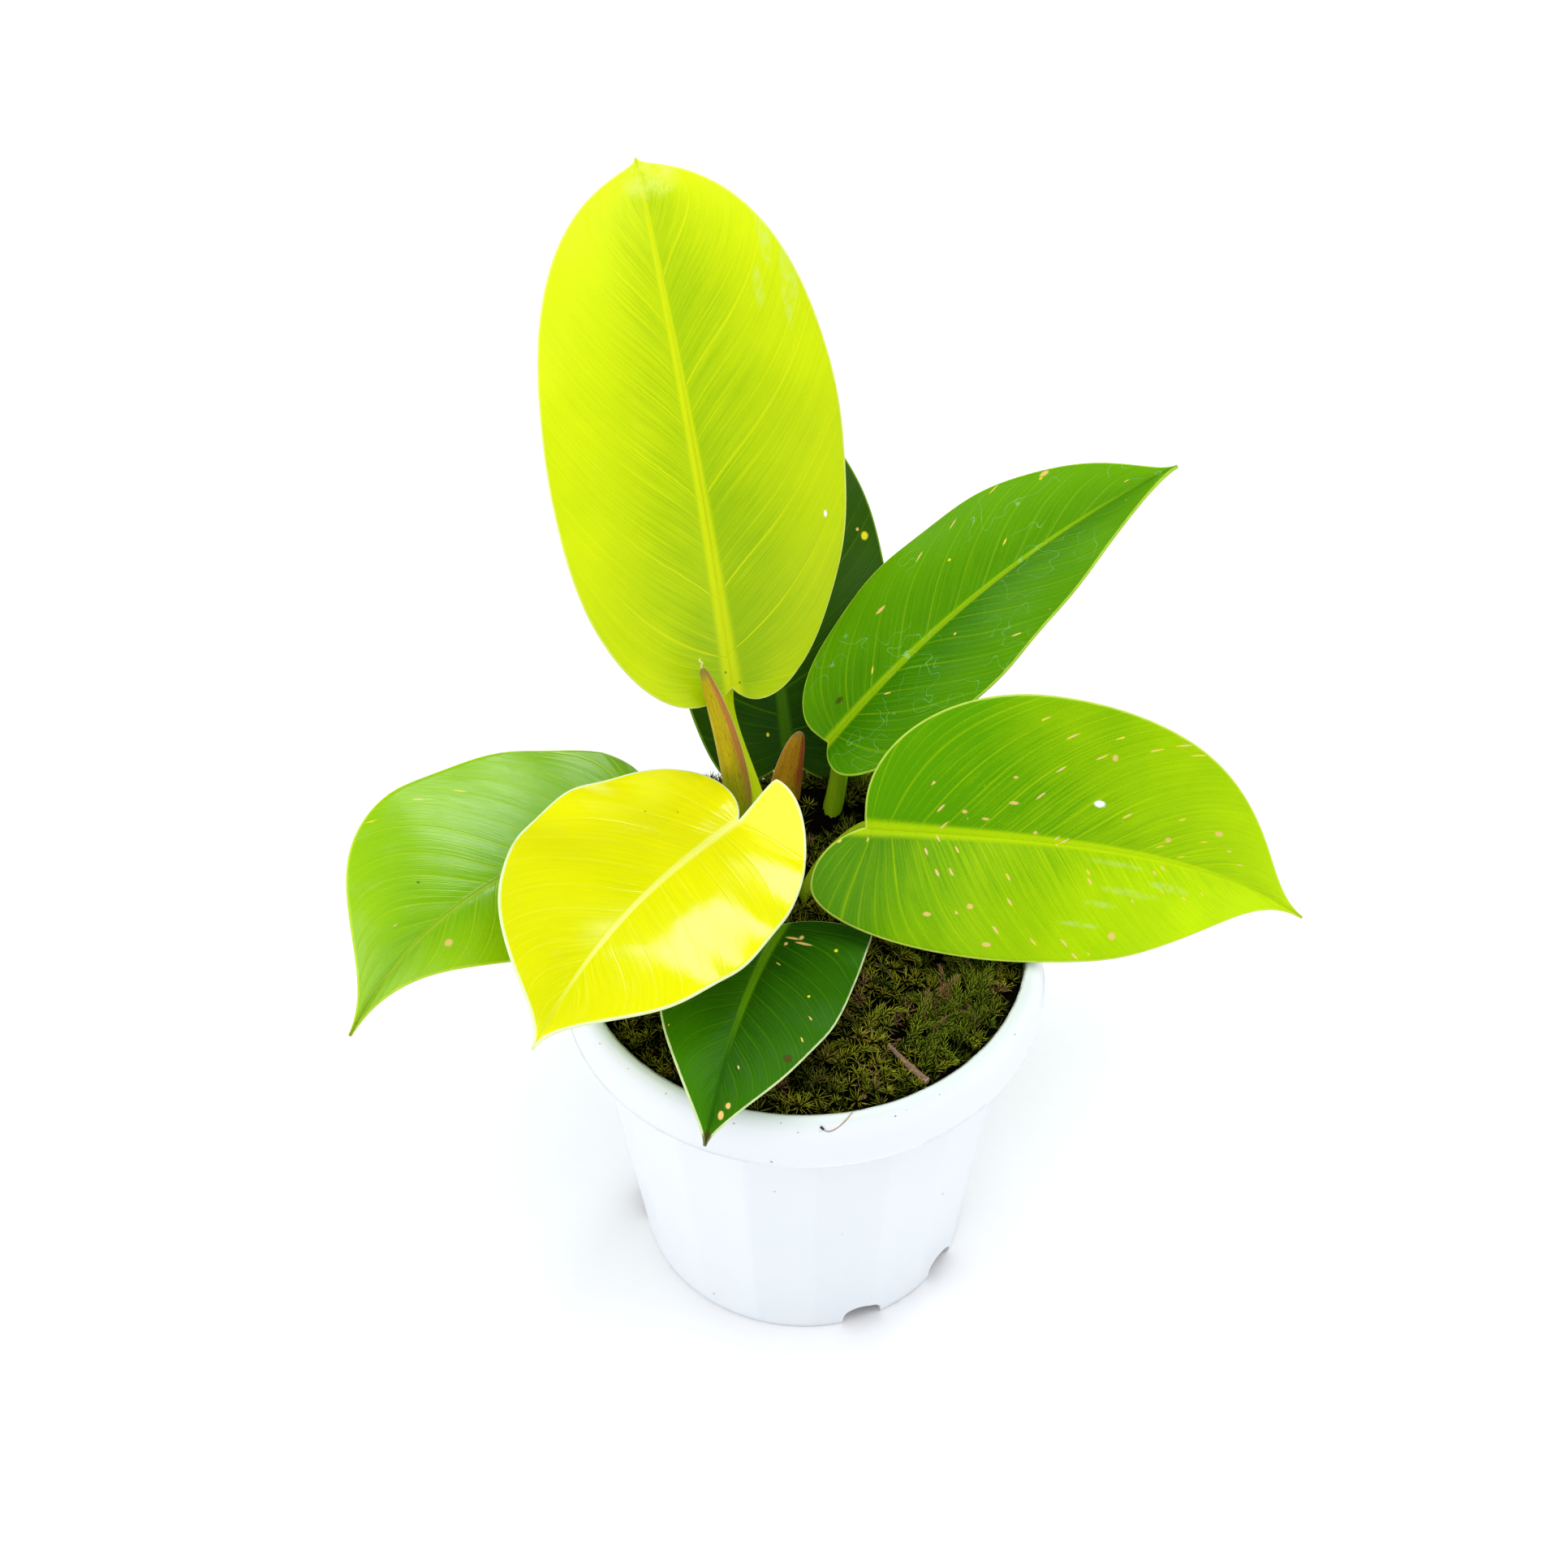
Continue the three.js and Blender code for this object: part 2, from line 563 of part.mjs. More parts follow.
// The moss: a lumpy mat with pointed tufts, and plain holes where stalks come through.
function moss() {
  const rings = 7;
  const segments = 32;
  const points = [new THREE.Vector2(0, mixTop + gap)];
  points.push(new THREE.Vector2(mossRadius - 2, mixTop + gap));
  for (let i = 0; i <= rings; i += 1) {
    points.push(new THREE.Vector2(mossRadius * (1 - i / rings), mossEdgeTop));
  }
  const mat = new THREE.LatheGeometry(points, segments).rotateX(Math.PI / 2);
  const place = mat.attributes.position;
  for (let i = 0; i < place.count; i += 1) {
    if (place.getZ(i) > mixTop + 1) place.setZ(i, mossHeight(place.getX(i), place.getY(i)));
  }
  let body = solid(mat);
  const next = seeded(7);
  const feet = [
    ...Object.values(leaves).map((leaf) => leaf.foot),
    ...Object.values(sheaths).map((sheath) => sheath.path[0]),
    [30, -48],
  ];
  const tufts = [];
  for (let i = 0; i < tuftCount; i += 1) {
    const radius = (mossRadius - 4) * Math.sqrt((i + 0.5) / tuftCount);
    const spot = around(137.508 * i, radius, 0);
    const tilt = [(next() - 0.5) * 0.7, (next() - 0.5) * 0.7];
    const scale = 0.75 + 0.5 * next();
    if (feet.some(([x, y]) => Math.hypot(spot.x - x, spot.y - y) < 8)) continue;
    const cone = new THREE.ConeGeometry(tuftRadius * scale, tuftHeight * scale, 5).rotateX(Math.PI / 2);
    cone.rotateX(tilt[0]).rotateY(tilt[1]);
    cone.translate(spot.x, spot.y, mossHeight(spot.x, spot.y) + 0.15);
    tufts.push(solid(cone));
  }
  for (const tuft of tufts) body = body.add(tuft);
  for (const leaf of Object.values(leaves)) body = body.subtract(solid(leafStalk(leaf, gap + 0.1)));
  for (const sheath of Object.values(sheaths)) body = body.subtract(solid(sheathStalk(sheath, gap + 0.1)));
  body = body.subtract(solid(twigGeometry(gap)));
  return named("moss", geometryOf(body), 0x4a5a16, 0.95);
}

const group = new THREE.Group();
group.add(pot());
group.add(pottingMix());
group.add(named("rootstock", geometryOf(rootstockSolid()), 0x8a6a45, 0.8));
group.add(moss());
for (const [name, leaf] of Object.entries(leaves)) {
  group.add(named(`stalk_${name}`, leafStalk(leaf), 0x8fae24, 0.45));
  group.add(named(`blade_${name}`, bladeGeometry(leaf), leaf.color, 0.35));
}
for (const [name, sheath] of Object.entries(sheaths)) {
  group.add(named(name, sheathStalk(sheath), sheath.color, 0.6));
}
group.add(named("twig", twigGeometry(), 0x6b4a34, 0.9));

export default group;
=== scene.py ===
"""A moonlight philodendron in its white nursery pot, dressed for close views from any side.

Shapes are worked out in millimetres and put into their meshes in metres. X points right and Y
away from the front; angles about the pot are degrees right of the front.
"""

import math

import bpy
import numpy as np
from mathutils import Matrix


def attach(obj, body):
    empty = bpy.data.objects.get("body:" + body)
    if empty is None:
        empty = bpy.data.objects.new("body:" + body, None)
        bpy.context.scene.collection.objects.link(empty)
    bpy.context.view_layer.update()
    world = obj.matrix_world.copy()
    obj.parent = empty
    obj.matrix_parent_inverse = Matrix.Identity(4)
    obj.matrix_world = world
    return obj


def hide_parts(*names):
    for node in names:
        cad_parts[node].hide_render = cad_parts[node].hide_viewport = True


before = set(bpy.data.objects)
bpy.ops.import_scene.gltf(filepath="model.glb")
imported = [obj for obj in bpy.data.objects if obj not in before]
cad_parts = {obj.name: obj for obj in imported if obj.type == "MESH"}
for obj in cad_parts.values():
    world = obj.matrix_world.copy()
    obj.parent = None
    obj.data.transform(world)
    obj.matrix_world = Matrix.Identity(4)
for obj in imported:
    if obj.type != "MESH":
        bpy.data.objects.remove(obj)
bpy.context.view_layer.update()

bl_info = {
    "name": "Potted Moonlight Philodendron",
    "version": (1, 0, 0),
    "blender": (4, 5, 0),
    "location": "3D View > Sidebar > Plant",
    "description": "Builds a potted philodendron: blades, stalks, sheaths, moss and nursery pot",
    "category": "Add Mesh",
}

MM = 0.001
BODY = "root"
GOLDEN_ANGLE = math.radians(137.508)

# Pot
POT_HEIGHT = 129.0
BASE_RADIUS = 52.9
BODY_TOP_RADIUS = 66.5
BODY_TOP_HEIGHT = 110.5
WALL = 1.6
RIM_RADIUS = 74.0
RIM_BOTTOM = 111.5
LIP_RADIUS = 68.7
FLUTES = 18
FLUTE_DEPTH = 0.9
FIRST_RIDGE = 3.0
DRAIN_ANGLES = (20.0, 56.0, 128.0, 200.0, 272.0)
DRAIN_WIDTH = 13.0
DRAIN_HEIGHT = 8.0
# Distances from the axis between which the drain arches are cut.
DRAIN_REACH = (46, 58)
# Heights over which the flutes grow above the foot and fade below the rim.
FLUTE_FOOT = (1, 9)
FLUTE_TOP = (98, 108)
# Dirt on the rim: its lowest height, how far up it spreads, how far in it lies for each step up,
# and its distance from the axis at the lowest height.
CRUMB_LOW = 125.7
CRUMB_RISE = 2.4
CRUMB_LEAN = 0.68
CRUMB_RADIUS = RIM_RADIUS - 2.1
RIM_SEED = 11

# Filling
GAP = 0.3
MIX_TOP = 118.0
ON_MIX = MIX_TOP + GAP
MOSS_EDGE = 125.6
MOSS_CROWN = 130.0
MOSS_RADIUS = 66.3
HEAP_HEIGHT = 9.0
HEAP_X = 5.0
HEAP_Y = 57.0
HEAP_HALF_WIDTH = 40.0
HEAP_HALF_DEPTH = 11.0
HOLLOW_DEPTH = 2.4
FELT_DROP = 1.5
# Needles of a star tuft, and how steeply each of its three rings of them rises.
STAR_NEEDLES = 18
STAR_STEEPNESS = (18.0, 42.0, 66.0)
# Star tufts that have crept over the lip: degrees from X of their middle, half their span, and the
# distances from the axis where they begin and how far out they reach from there.
BACK = 90
LIP_TUFT_SPAN = 42
LIP_TUFT_START = 62
LIP_TUFT_BAND = 10.5
SHOOT_NEEDLES = 40
BARK_CRUMBS = 260
DRY_THREADS = 110
# The lip's rounded section: radii, and the height at each.
LIP_RADII = (66.9, 67.4, LIP_RADIUS, 70.3, 71.9, 73.0)
LIP_HEIGHTS = (0.0, 127.0, POT_HEIGHT, 128.1, 125.7, 121.5)

# Blades
# Thickness, half widths, and the powers and shares that the outline and the grid follow.
MARGIN_THICKNESS = 0.8
MIDRIB_THICKNESS = 2.3
MIDRIB_HALF_WIDTH = 3.2
SINUS_HALF_WIDTH = 1.2
TIP_HALF_WIDTH = 0.35
VEIN_SWEEP = 1.6
LOBE_SHARE = 0.3
WAVE_COUNT = 3.5
VEIN_BEND = 0.25
VEIN_SEED = 31
# How far the margin is rounded outwards, and how far the crease at the midrib reaches.
MARGIN_BULGE = 0.18
CREASE_ROUNDING = 1.5
# Relief at full depth: between main side veins, between finer ones, and beside the midrib.
VEIN_SWELL = 0.22
FINE_SWELL = 0.07
RIB_TROUGH = 0.10
LEAF_IOR = 1.45

# How finely each mesh is divided: along, then across or round it.
BLADE_GRID = (150, 36)
STALK_GRID = (72, 56)
SHEATH_GRID = (90, 64)
TWIG_GRID = (60, 24)
FELT_GRID = (110, 220)
FLOOR_GRID = (24, 96)
POT_SIDES = 396
# Edges sharper than these many degrees crease.
STEM_CREASE = 50
POT_CREASE = 38

# Stage: the floor in millimetres, the camera's place and sight in metres, its angles in degrees.
FLOOR_RADIUS = 6000
FLOOR_HEIGHT = -0.02
FLOOR_DIP = 4
CAMERA_PLACE = (-0.0057, -0.5796, 0.7735)
CAMERA_PITCH = 45.1
CAMERA_ROLL = -0.47
CAMERA_LENS = 65.2
CAMERA_SENSOR = 36
CAMERA_SIGHT = 50

# Each leaf: where the blade joins its stalk, how its midrib runs, how each half spreads, its stalk.
# left and right hold width, widest_at, lobe, lobe_out and lift.
LEAVES = {
    "tall": {
        "join": (-21, 43.5, 193.5), "length": 160, "heading": 115, "rise": 74, "droop": 32, "hook": 1.5,
        "sweep": -9.5, "roll": 4, "twist": -16, "fold": 10, "curl": 0.2, "skew": 0, "wave": 0.7,
        "left": (44.3, 61, 2, 8.2, 1), "right": (43.8, 77, 6, 9, 5),
        "side": 0.49, "shoulder": 0.98, "point": 0.06,
        "foot": (-12, 47), "stalk": (3.7, 2.4, 2.8, 2.0), "arrive": 0.45,
    },
    "back": {
        "join": (-4.4, 68, 142.6), "length": 151, "heading": 100, "rise": 47, "droop": 9, "hook": 1.5,
        "sweep": -2, "roll": 8.5, "twist": 0, "fold": 16, "curl": 0.21, "skew": 1, "wave": 0.8,
        "left": (35.8, 48, 7.9, 18.4, -3), "right": (38.1, 50.4, 12.1, 19.6, 0),
        "side": 0.54, "shoulder": 0.52, "point": 0.33,
        "foot": (2.5, 58.5), "stalk": (3.1, 2.3, 2.4, 1.8), "arrive": 0.7,
    },
    "rightUpper": {
        "join": (8.2, 53.9, 160.1), "length": 137.5, "heading": 38, "rise": 34.5, "droop": 9.5, "hook": 1.5,
        "sweep": -27.5, "roll": -8, "twist": 11.5, "fold": 13.5, "curl": 0.65, "skew": 0, "wave": 0.6,
        "left": (34.5, 61, 0.4, 6.9, 0), "right": (34.1, 41, 5.2, 11.3, 1),
        "side": 0.54, "shoulder": 0.63, "point": 0.13,
        "foot": (8, 51), "stalk": (3.8, 3.3, 2.8, 2.4), "arrive": 0.7,
    },
    "right": {
        "join": (18.8, 16, 161.2), "length": 151, "heading": -1, "rise": -5, "droop": 42, "hook": 1.8,
        "sweep": 9, "roll": 42, "twist": 18, "fold": 16, "curl": 0.28, "skew": 1, "wave": 1.0,
        "left": (44.7, 50.6, 0.5, 7.6, 0), "right": (37.4, 40.3, 15.7, 18.9, 0),
        "side": 0.53, "shoulder": 0.65, "point": 0.31,
        "foot": (0, 21), "stalk": (3.5, 2.6, 2.6, 2.0), "arrive": 0.8,
    },
    "yellow": {
        "join": (-19.5, 16.8, 163.9), "length": 127, "heading": 240, "rise": 21, "droop": 28, "hook": 2.2,
        "sweep": 8, "roll": -7, "twist": -6, "fold": 3, "curl": 0.28, "skew": -3, "wave": 1.0,
        "left": (35.5, 50.5, 17, 3.4, 45), "right": (41.8, 42, 11.7, 15, 3),
        "side": 0.52, "shoulder": 0.72, "point": 0.2,
        "foot": (-9, 32), "stalk": (3.4, 2.6, 2.6, 1.9), "arrive": 0.75,
    },
    "left": {
        "join": (-47.2, 29.2, 147.6), "length": 137, "heading": 222, "rise": 26, "droop": 48, "hook": 2.2,
        "sweep": 21, "roll": -21.5, "twist": -1, "fold": 4, "curl": 0.42, "skew": -1, "wave": 0.8,
        "left": (33.1, 38, 11, 17.8, 0), "right": (40.1, 68.4, 10.8, 19.2, -5),
        "side": 0.56, "shoulder": 0.55, "point": 0.36,
        "foot": (-20, 30), "stalk": (3.4, 2.5, 2.6, 1.9), "arrive": 0.7,
    },
    "front": {
        "join": (-6.4, 0.1, 135.6), "length": 108, "heading": 254.5, "rise": 22, "droop": 26, "hook": 1.8,
        "sweep": 7, "roll": -6, "twist": -11, "fold": 10, "curl": 0.33, "skew": 0, "wave": 0.8,
        "left": (28, 32.4, 7.9, 25.9, 3.5), "right": (28, 32.5, 7.6, 14, 0),
        "side": 0.55, "shoulder": 0.57, "point": 0.12,
        "foot": (-5, 15), "stalk": (3.0, 2.2, 2.2, 1.6), "arrive": 0.75,
    },
}

# Sheaths: foot, two points that steer the curve, tip; half width and depth; share of width at foot.
SHEATHS = {
    "tall": {
        "path": [(-20, 42, ON_MIX), (-17.5, 42.5, 146), (-22, 38.5, 178), (-29.3, 31.5, 212.5)],
        "half": (4.3, 2.5), "base": 0.45,
    },
    "short": {
        "path": [(-6.5, 54.5, ON_MIX), (-6.5, 55, 134), (-4.5, 54.5, 150), (-0.6, 53.5, 165.5)],
        "half": (5.2, 2.2), "base": 0.8,
    },
    "stub": {
        "path": [(-14, 57.5, ON_MIX), (-14, 58, 124), (-15.5, 60.5, 130), (-19.5, 63.5, 136)],
        "half": (2.6, 1.5), "base": 0.8,
    },
}
# The dry thread that stands on the tall sheath's tip.
SHEATH_THREAD = [
    (-29.2, 31.6, 212.0), (-29.6, 31.2, 213.6), (-29.2, 31.0, 215.0),
    (-30.0, 30.8, 216.0), (-29.7, 30.9, 217.0),
]


def display(red, green, blue):
    """The linear colour of three display values from 0 to 255."""
    values = np.array([red, green, blue]) / 255
    linear = np.where(values <= 0.04045, values / 12.92, ((values + 0.055) / 1.055) ** 2.4)
    return tuple(float(value) for value in linear)


def times(factor, tint):
    """A colour with each of its parts multiplied."""
    return tuple(factor * value for value in tint)


def smooth(low, high, value):
    """0 below low, 1 above high, and an S-shaped rise between."""
    t = np.clip((value - low) / (high - low), 0, 1)
    return t * t * (3 - 2 * t)


def unit(vectors):
    """Each vector divided by its length."""
    return vectors / np.linalg.norm(vectors, axis=-1, keepdims=True)


def around(sides):
    """The angles of even steps round a circle."""
    return 2 * np.pi * np.arange(sides) / sides


def polar(radius, turn):
    """x and y of points at a distance from the axis and an angle from X."""
    return radius * np.cos(turn), radius * np.sin(turn)


def bezier(points, t):
    """The cubic curve that four points steer, at each share t of its run."""
    a, b, c, d = np.asarray(points, float)
    t = np.asarray(t, float)[..., None]
    return (1 - t) ** 3 * a + 3 * t * (1 - t) ** 2 * b + 3 * t * t * (1 - t) * c + t**3 * d


def bezier_slope(points, t):
    """Unit direction of that cubic curve."""
    a, b, c, d = np.asarray(points, float)
    t = np.asarray(t, float)[..., None]
    return unit((1 - t) ** 2 * (b - a) + 2 * t * (1 - t) * (c - b) + t * t * (d - c))


def through(points, steps):
    """A smooth curve through every point: on each span a cubic whose end slopes are half the
    chord between the neighbours, sampled at steps places."""
    p = np.asarray(points, float)
    before = np.vstack([2 * p[0] - p[1], p[:-1]])[:-1]
    after = np.vstack([p[1:], 2 * p[-1] - p[-2]])[1:]
    start, end = p[:-1], p[1:]
    t = (np.arange(steps) / steps)[:, None, None]
    slope_a, slope_b = (end - before) / 2, (after - start) / 2
    curve = (
        (2 * t**3 - 3 * t**2 + 1) * start
        + (t**3 - 2 * t**2 + t) * slope_a
        + (3 * t**2 - 2 * t**3) * end
        + (t**3 - t**2) * slope_b
    )
    return np.vstack([curve.transpose(1, 0, 2).reshape(-1, p.shape[1]), p[-1:]])


def grid_faces(rows, columns, wrap=False):
    """Four-cornered faces of a grid of points; with wrap the last column joins the first."""
    spans = columns if wrap else columns - 1
    i, j = np.meshgrid(np.arange(rows - 1), np.arange(spans), indexing="ij")
    here, below = i * columns, (i + 1) * columns
    k = (j + 1) % columns
    return np.stack([here + j, here + k, below + k, below + j], -1).reshape(-1, 4)


def closed_rings(points, first, last):
    """Closes rings of points with a fan round a point at each end. Returns all points, and the
    faces between the rings and in the fans."""
    rows, sides, _ = points.shape
    k = np.arange(sides)
    after = (k + 1) % sides
    end = (rows - 1) * sides
    fans = np.vstack([
        np.stack([np.full(sides, rows * sides), after, k], -1),
        np.stack([np.full(sides, rows * sides + 1), end + k, end + after], -1),
    ])
    return np.vstack([points.reshape(-1, 3), [first, last]]), [grid_faces(rows, sides, wrap=True), fans]


def joined(parts):
    """Several parts as one: each is its points, its four-cornered faces, its triangles and its
    kind. Returns all points, both lists of faces, and the kind of each point."""
    places, quads, triangles, kinds = [], [], [], []
    first = 0
    for points, four, three, kind in parts:
        places.append(points)
        quads.append(four + first)
        triangles.append(three + first)
        kinds.append(np.full(len(points), float(kind)))
        first += len(points)
    return np.vstack(places), np.vstack(quads), np.vstack(triangles), np.concatenate(kinds)


def put_mesh(name, points, faces, marks=None, sharp=None):
    """Makes an object at the origin from points in millimetres and lists of faces. marks are
    numbers for each point that the material reads; sharp is the angle past which edges crease."""
    mesh = bpy.data.meshes.new(name)
    rows = [np.asarray(part, np.int32) for part in faces]
    corners = np.concatenate([part.ravel() for part in rows])
    sizes = np.concatenate([np.full(len(part), part.shape[1]) for part in rows])
    mesh.vertices.add(len(points))
    mesh.vertices.foreach_set("co", (np.asarray(points, np.float32) * MM).ravel())
    mesh.loops.add(len(corners))
    mesh.loops.foreach_set("vertex_index", corners)
    mesh.polygons.add(len(sizes))
    starts = np.concatenate([[0], np.cumsum(sizes)[:-1]])
    mesh.polygons.foreach_set("loop_start", starts.astype(np.int32))
    mesh.update(calc_edges=True)
    mesh.validate()
    for mark, values in (marks or {}).items():
        spread = np.broadcast_to(np.asarray(values, np.float32), (len(points),))
        attribute = mesh.attributes.new(mark, "FLOAT", "POINT")
        attribute.data.foreach_set("value", np.ascontiguousarray(spread))
    mesh.shade_smooth()
    if sharp is not None:
        mesh.set_sharp_from_angle(angle=math.radians(sharp))
    piece = bpy.data.objects.new(name, mesh)
    bpy.context.scene.collection.objects.link(piece)
    return piece


def finish_piece(piece, material, nodes=()):
    """Dresses a piece, makes it ride on the body and stand for its CAD nodes."""
    piece.data.materials.clear()
    piece.data.materials.append(material)
    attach(piece, BODY)
    if nodes:
        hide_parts(*nodes)


def blade_axes(leaf, share):
    """Direction along the midrib, to its left and up from the blade, at each share of the length:
    the tilt falls by a power of the share, and heading and roll change evenly."""
    part = np.clip(share, 0, 1)
    tilt = np.radians(leaf["rise"] - leaf["droop"] * part ** leaf["hook"])
    turn = np.radians(leaf["heading"] + leaf["sweep"] * part)
    lean = np.radians(leaf["roll"] + leaf["twist"] * part)[..., None]
    along = np.stack([np.cos(tilt) * np.cos(turn), np.cos(tilt) * np.sin(turn), np.sin(tilt)], -1)
    level = np.stack([-np.sin(turn), np.cos(turn), 0 * turn], -1)
    over = np.cross(along, level)
    side = level * np.cos(lean) + over * np.sin(lean)
    up = over * np.cos(lean) - level * np.sin(lean)
    return along, side, up


def midrib_line(leaf, share, steps=400):
    """Points of the midrib at each share: the direction added up in short steps from the junction."""
    middle = (np.arange(steps) + 0.5) / steps
    along, _, _ = blade_axes(leaf, middle)
    line = np.vstack([np.zeros(3), np.cumsum(along * leaf["length"] / steps, axis=0)])
    line = line + np.array(leaf["join"])
    place = np.linspace(0, 1, steps + 1)
    part = np.clip(share, 0, 1)
    return np.stack([np.interp(part, place, line[:, k]) for k in range(3)], -1)


def half_values(leaf, y):
    """width, widest_at, lobe, lobe_out and lift of the half that each y is on."""
    left = np.asarray(leaf["left"], float)[:, None, None]
    right = np.asarray(leaf["right"], float)[:, None, None]
    return np.where(y > 0, left, right)


def blade_points(leaf, x, y, down, relief):
    """Points of the blade: x along the midrib, y to the left, down below the upper face. The halves
    rise from the midrib by the fold, bend back toward their edges by the curl and ripple near the
    margin; relief lifts both faces. The crease at the midrib is rounded by an exponential."""
    share = x / leaf["length"]
    along, side, up = blade_axes(leaf, share)
    point = midrib_line(leaf, share)
    width, _, _, _, lift = half_values(leaf, y)
    lift = np.radians(lift) * (x < 0)
    behind = np.minimum(x, 0)
    point = point + along * (behind * np.cos(lift))[..., None] - up * (behind * np.sin(lift))[..., None]
    away, hand = np.abs(y), np.sign(y)
    bend = np.radians(leaf["fold"] + hand * leaf["skew"]) - leaf["curl"] * away / leaf["length"]
    edge = np.minimum(1, away / width)
    phase = np.where(y > 0, 0.6, 2.2)
    ripple = leaf["wave"] * edge**2 * np.sin(2 * np.pi * WAVE_COUNT * share + phase)
    round_off = CREASE_ROUNDING * np.exp(-away / CREASE_ROUNDING) * np.sin(bend)
    sink = down * np.cos(bend)
    outward = y * np.cos(bend) + down * hand * smooth(0, 5, away) * np.sin(bend)
    upward = away * np.sin(bend) + round_off + ripple + relief - sink * np.cos(lift)
    point = point + side * outward[..., None] + up * upward[..., None]
    return point - along * (sink * np.sin(lift))[..., None]


def notch_edge(half, share):
    """One half of the notch beside the stalk, from the midrib's start back to the lobe's end."""
    _, _, lobe, lobe_out, _ = half
    steer = (-lobe / 2, SINUS_HALF_WIDTH + 0.075 * lobe_out)
    return bezier([(0, 0), steer, (-lobe, lobe_out / 2), (-lobe, lobe_out)], share)


def outline(leaf, half, share):
    """One half of the outline from the lobe's end to the tip: two cubics that meet at the widest."""
    width, widest_at, lobe, lobe_out, _ = half
    length = leaf["length"]
    rest = length - widest_at
    back, widest, tip = (-lobe, lobe_out), (widest_at, width), (length, TIP_HALF_WIDTH)
    lobe_side = (-lobe, lobe_out + leaf["side"] * (width - lobe_out))
    before_widest = (widest_at - 0.55 * (widest_at + lobe), width)
    shoulder = (widest_at + leaf["shoulder"] * rest, width)
    before_tip = (length - leaf["point"] * rest, TIP_HALF_WIDTH + 0.06 * leaf["point"] * rest)
    curves = [[back, lobe_side, before_widest, widest], [widest, shoulder, before_tip, tip]]
    piece = np.minimum(1, np.floor(share * 2)).astype(int)
    pieces = np.stack([bezier(curve, share * 2 - number) for number, curve in enumerate(curves)])
    return pieces[piece, np.arange(len(share))]


def half_grid(leaf, half, share, reach):
    """x and y of one half. Columns follow the side veins: each leaves the midrib farther along by a
    power of how far along it ends, and sweeps forward by the same power of the reach. The first is
    the notch's edge, and those near it follow its bend less and less."""
    length, (_, _, lobe, lobe_out, _) = leaf["length"], half
    edge = outline(leaf, half, share)
    forward = np.maximum(0, (edge[:, 0] + lobe) / (length + lobe))
    root = length * (0.05 * share + 0.95 * forward**VEIN_SWEEP)
    sweep = reach**VEIN_SWEEP
    follow = (np.maximum(0, 1 - share / LOBE_SHARE) ** 2)[:, None]
    notch = notch_edge(half, reach)
    x = root[:, None] + (edge[:, 0] - root)[:, None] * sweep + follow * (notch[:, 0] + lobe * sweep)
    y = edge[:, 1][:, None] * reach + follow * (notch[:, 1] - lobe_out * reach)
    return x, y


def edge_distance(leaf, half, x, y):
    """Flat distance from each point of a half to its outline, found among close points of it."""
    notch = notch_edge(half, np.linspace(0, 1, 160))
    rest = outline(leaf, half, np.linspace(0, 1, 1100))
    line = np.vstack([notch, rest]).astype(np.float32)
    flat = np.stack([x, y], -1).astype(np.float32)
    return np.stack([np.hypot(*(row[:, None] - line[None]).transpose(2, 0, 1)).min(1) for row in flat])


def vein_numbers(x, y, reach, shift, spacing, random):
    """For each point a number that grows by one from each main side vein to the next, and the
    distance it is read from: how far along the middle of the half, less a shift that grows with
    the reach, so that the veins leave the midrib at a narrow angle and bend toward the tip again
    near the margin."""
    middle = x.shape[1] * 11 // 20
    steps = np.hypot(np.diff(x[:, middle]), np.diff(y[:, middle]))
    distance = np.concatenate([[0], np.cumsum(steps)])[:, None]
    lean = 0.45 * (1 - np.exp(-reach / VEIN_BEND)) + 0.55 * reach**2.6
    distance = distance - shift * smooth(0, 0.3 * distance[-1, 0], distance) * lean
    count = int(distance.max() / spacing) + 3
    gaps = spacing * (0.75 + 0.5 * random.random(count))
    places = np.concatenate([[0], np.cumsum(gaps)])
    return np.interp(distance, places, np.arange(count + 1)), distance


def blade_halves(name, leaf, look):
    """Both halves of a blade on one grid, from the right margin to the left: x and y, the reach
    from midrib to margin, the distance to the margin, and the side veins' number and distance."""
    columns, rows = BLADE_GRID
    random = np.random.default_rng(len(name) * VEIN_SEED + 5)
    spread = (np.arange(rows + 1) / rows) ** 1.15
    share = np.linspace(0, 1, columns + 1)
    halves = []
    shifts = (look.right_shift / MM, look.left_shift / MM)
    for hand, half, shift in zip((-1, 1), (leaf["right"], leaf["left"]), shifts):
        x, y = half_grid(leaf, half, share, spread)
        reach = np.broadcast_to(spread, x.shape)
        number, distance = vein_numbers(x, y, reach, shift, look.vein_spacing / MM, random)
        margin = edge_distance(leaf, half, x, y)
        halves.append([x, hand * y, reach, margin, number + 40 * (hand > 0), distance])
    return [np.concatenate([right[:, :0:-1], left], axis=1) for right, left in zip(*halves)]


def vein_relief(share, away, reach, number, band):
    """How far the blade's face stands out: the tissue swells between the side veins, less so
    between finer ones, and a narrow trough runs along both sides of the midrib's band."""
    phase = np.abs((number + 0.5) % 1 - 0.5)
    fine = np.abs((number * 4 + 0.5) % 1 - 0.5)
    fade = smooth(0.02, 0.12, reach) * (1 - smooth(0.8, 1.0, reach))
    swell = VEIN_SWELL * np.sin(np.pi * np.minimum(1, phase * 2) / 2) + FINE_SWELL * np.sin(np.pi * fine)
    trough = -RIB_TROUGH * smooth(band * 0.25, band, away) * (1 - smooth(band, band * 2.4, away))
    trough = trough * (1 - smooth(0.7, 0.95, share))
    return swell * fade + trough


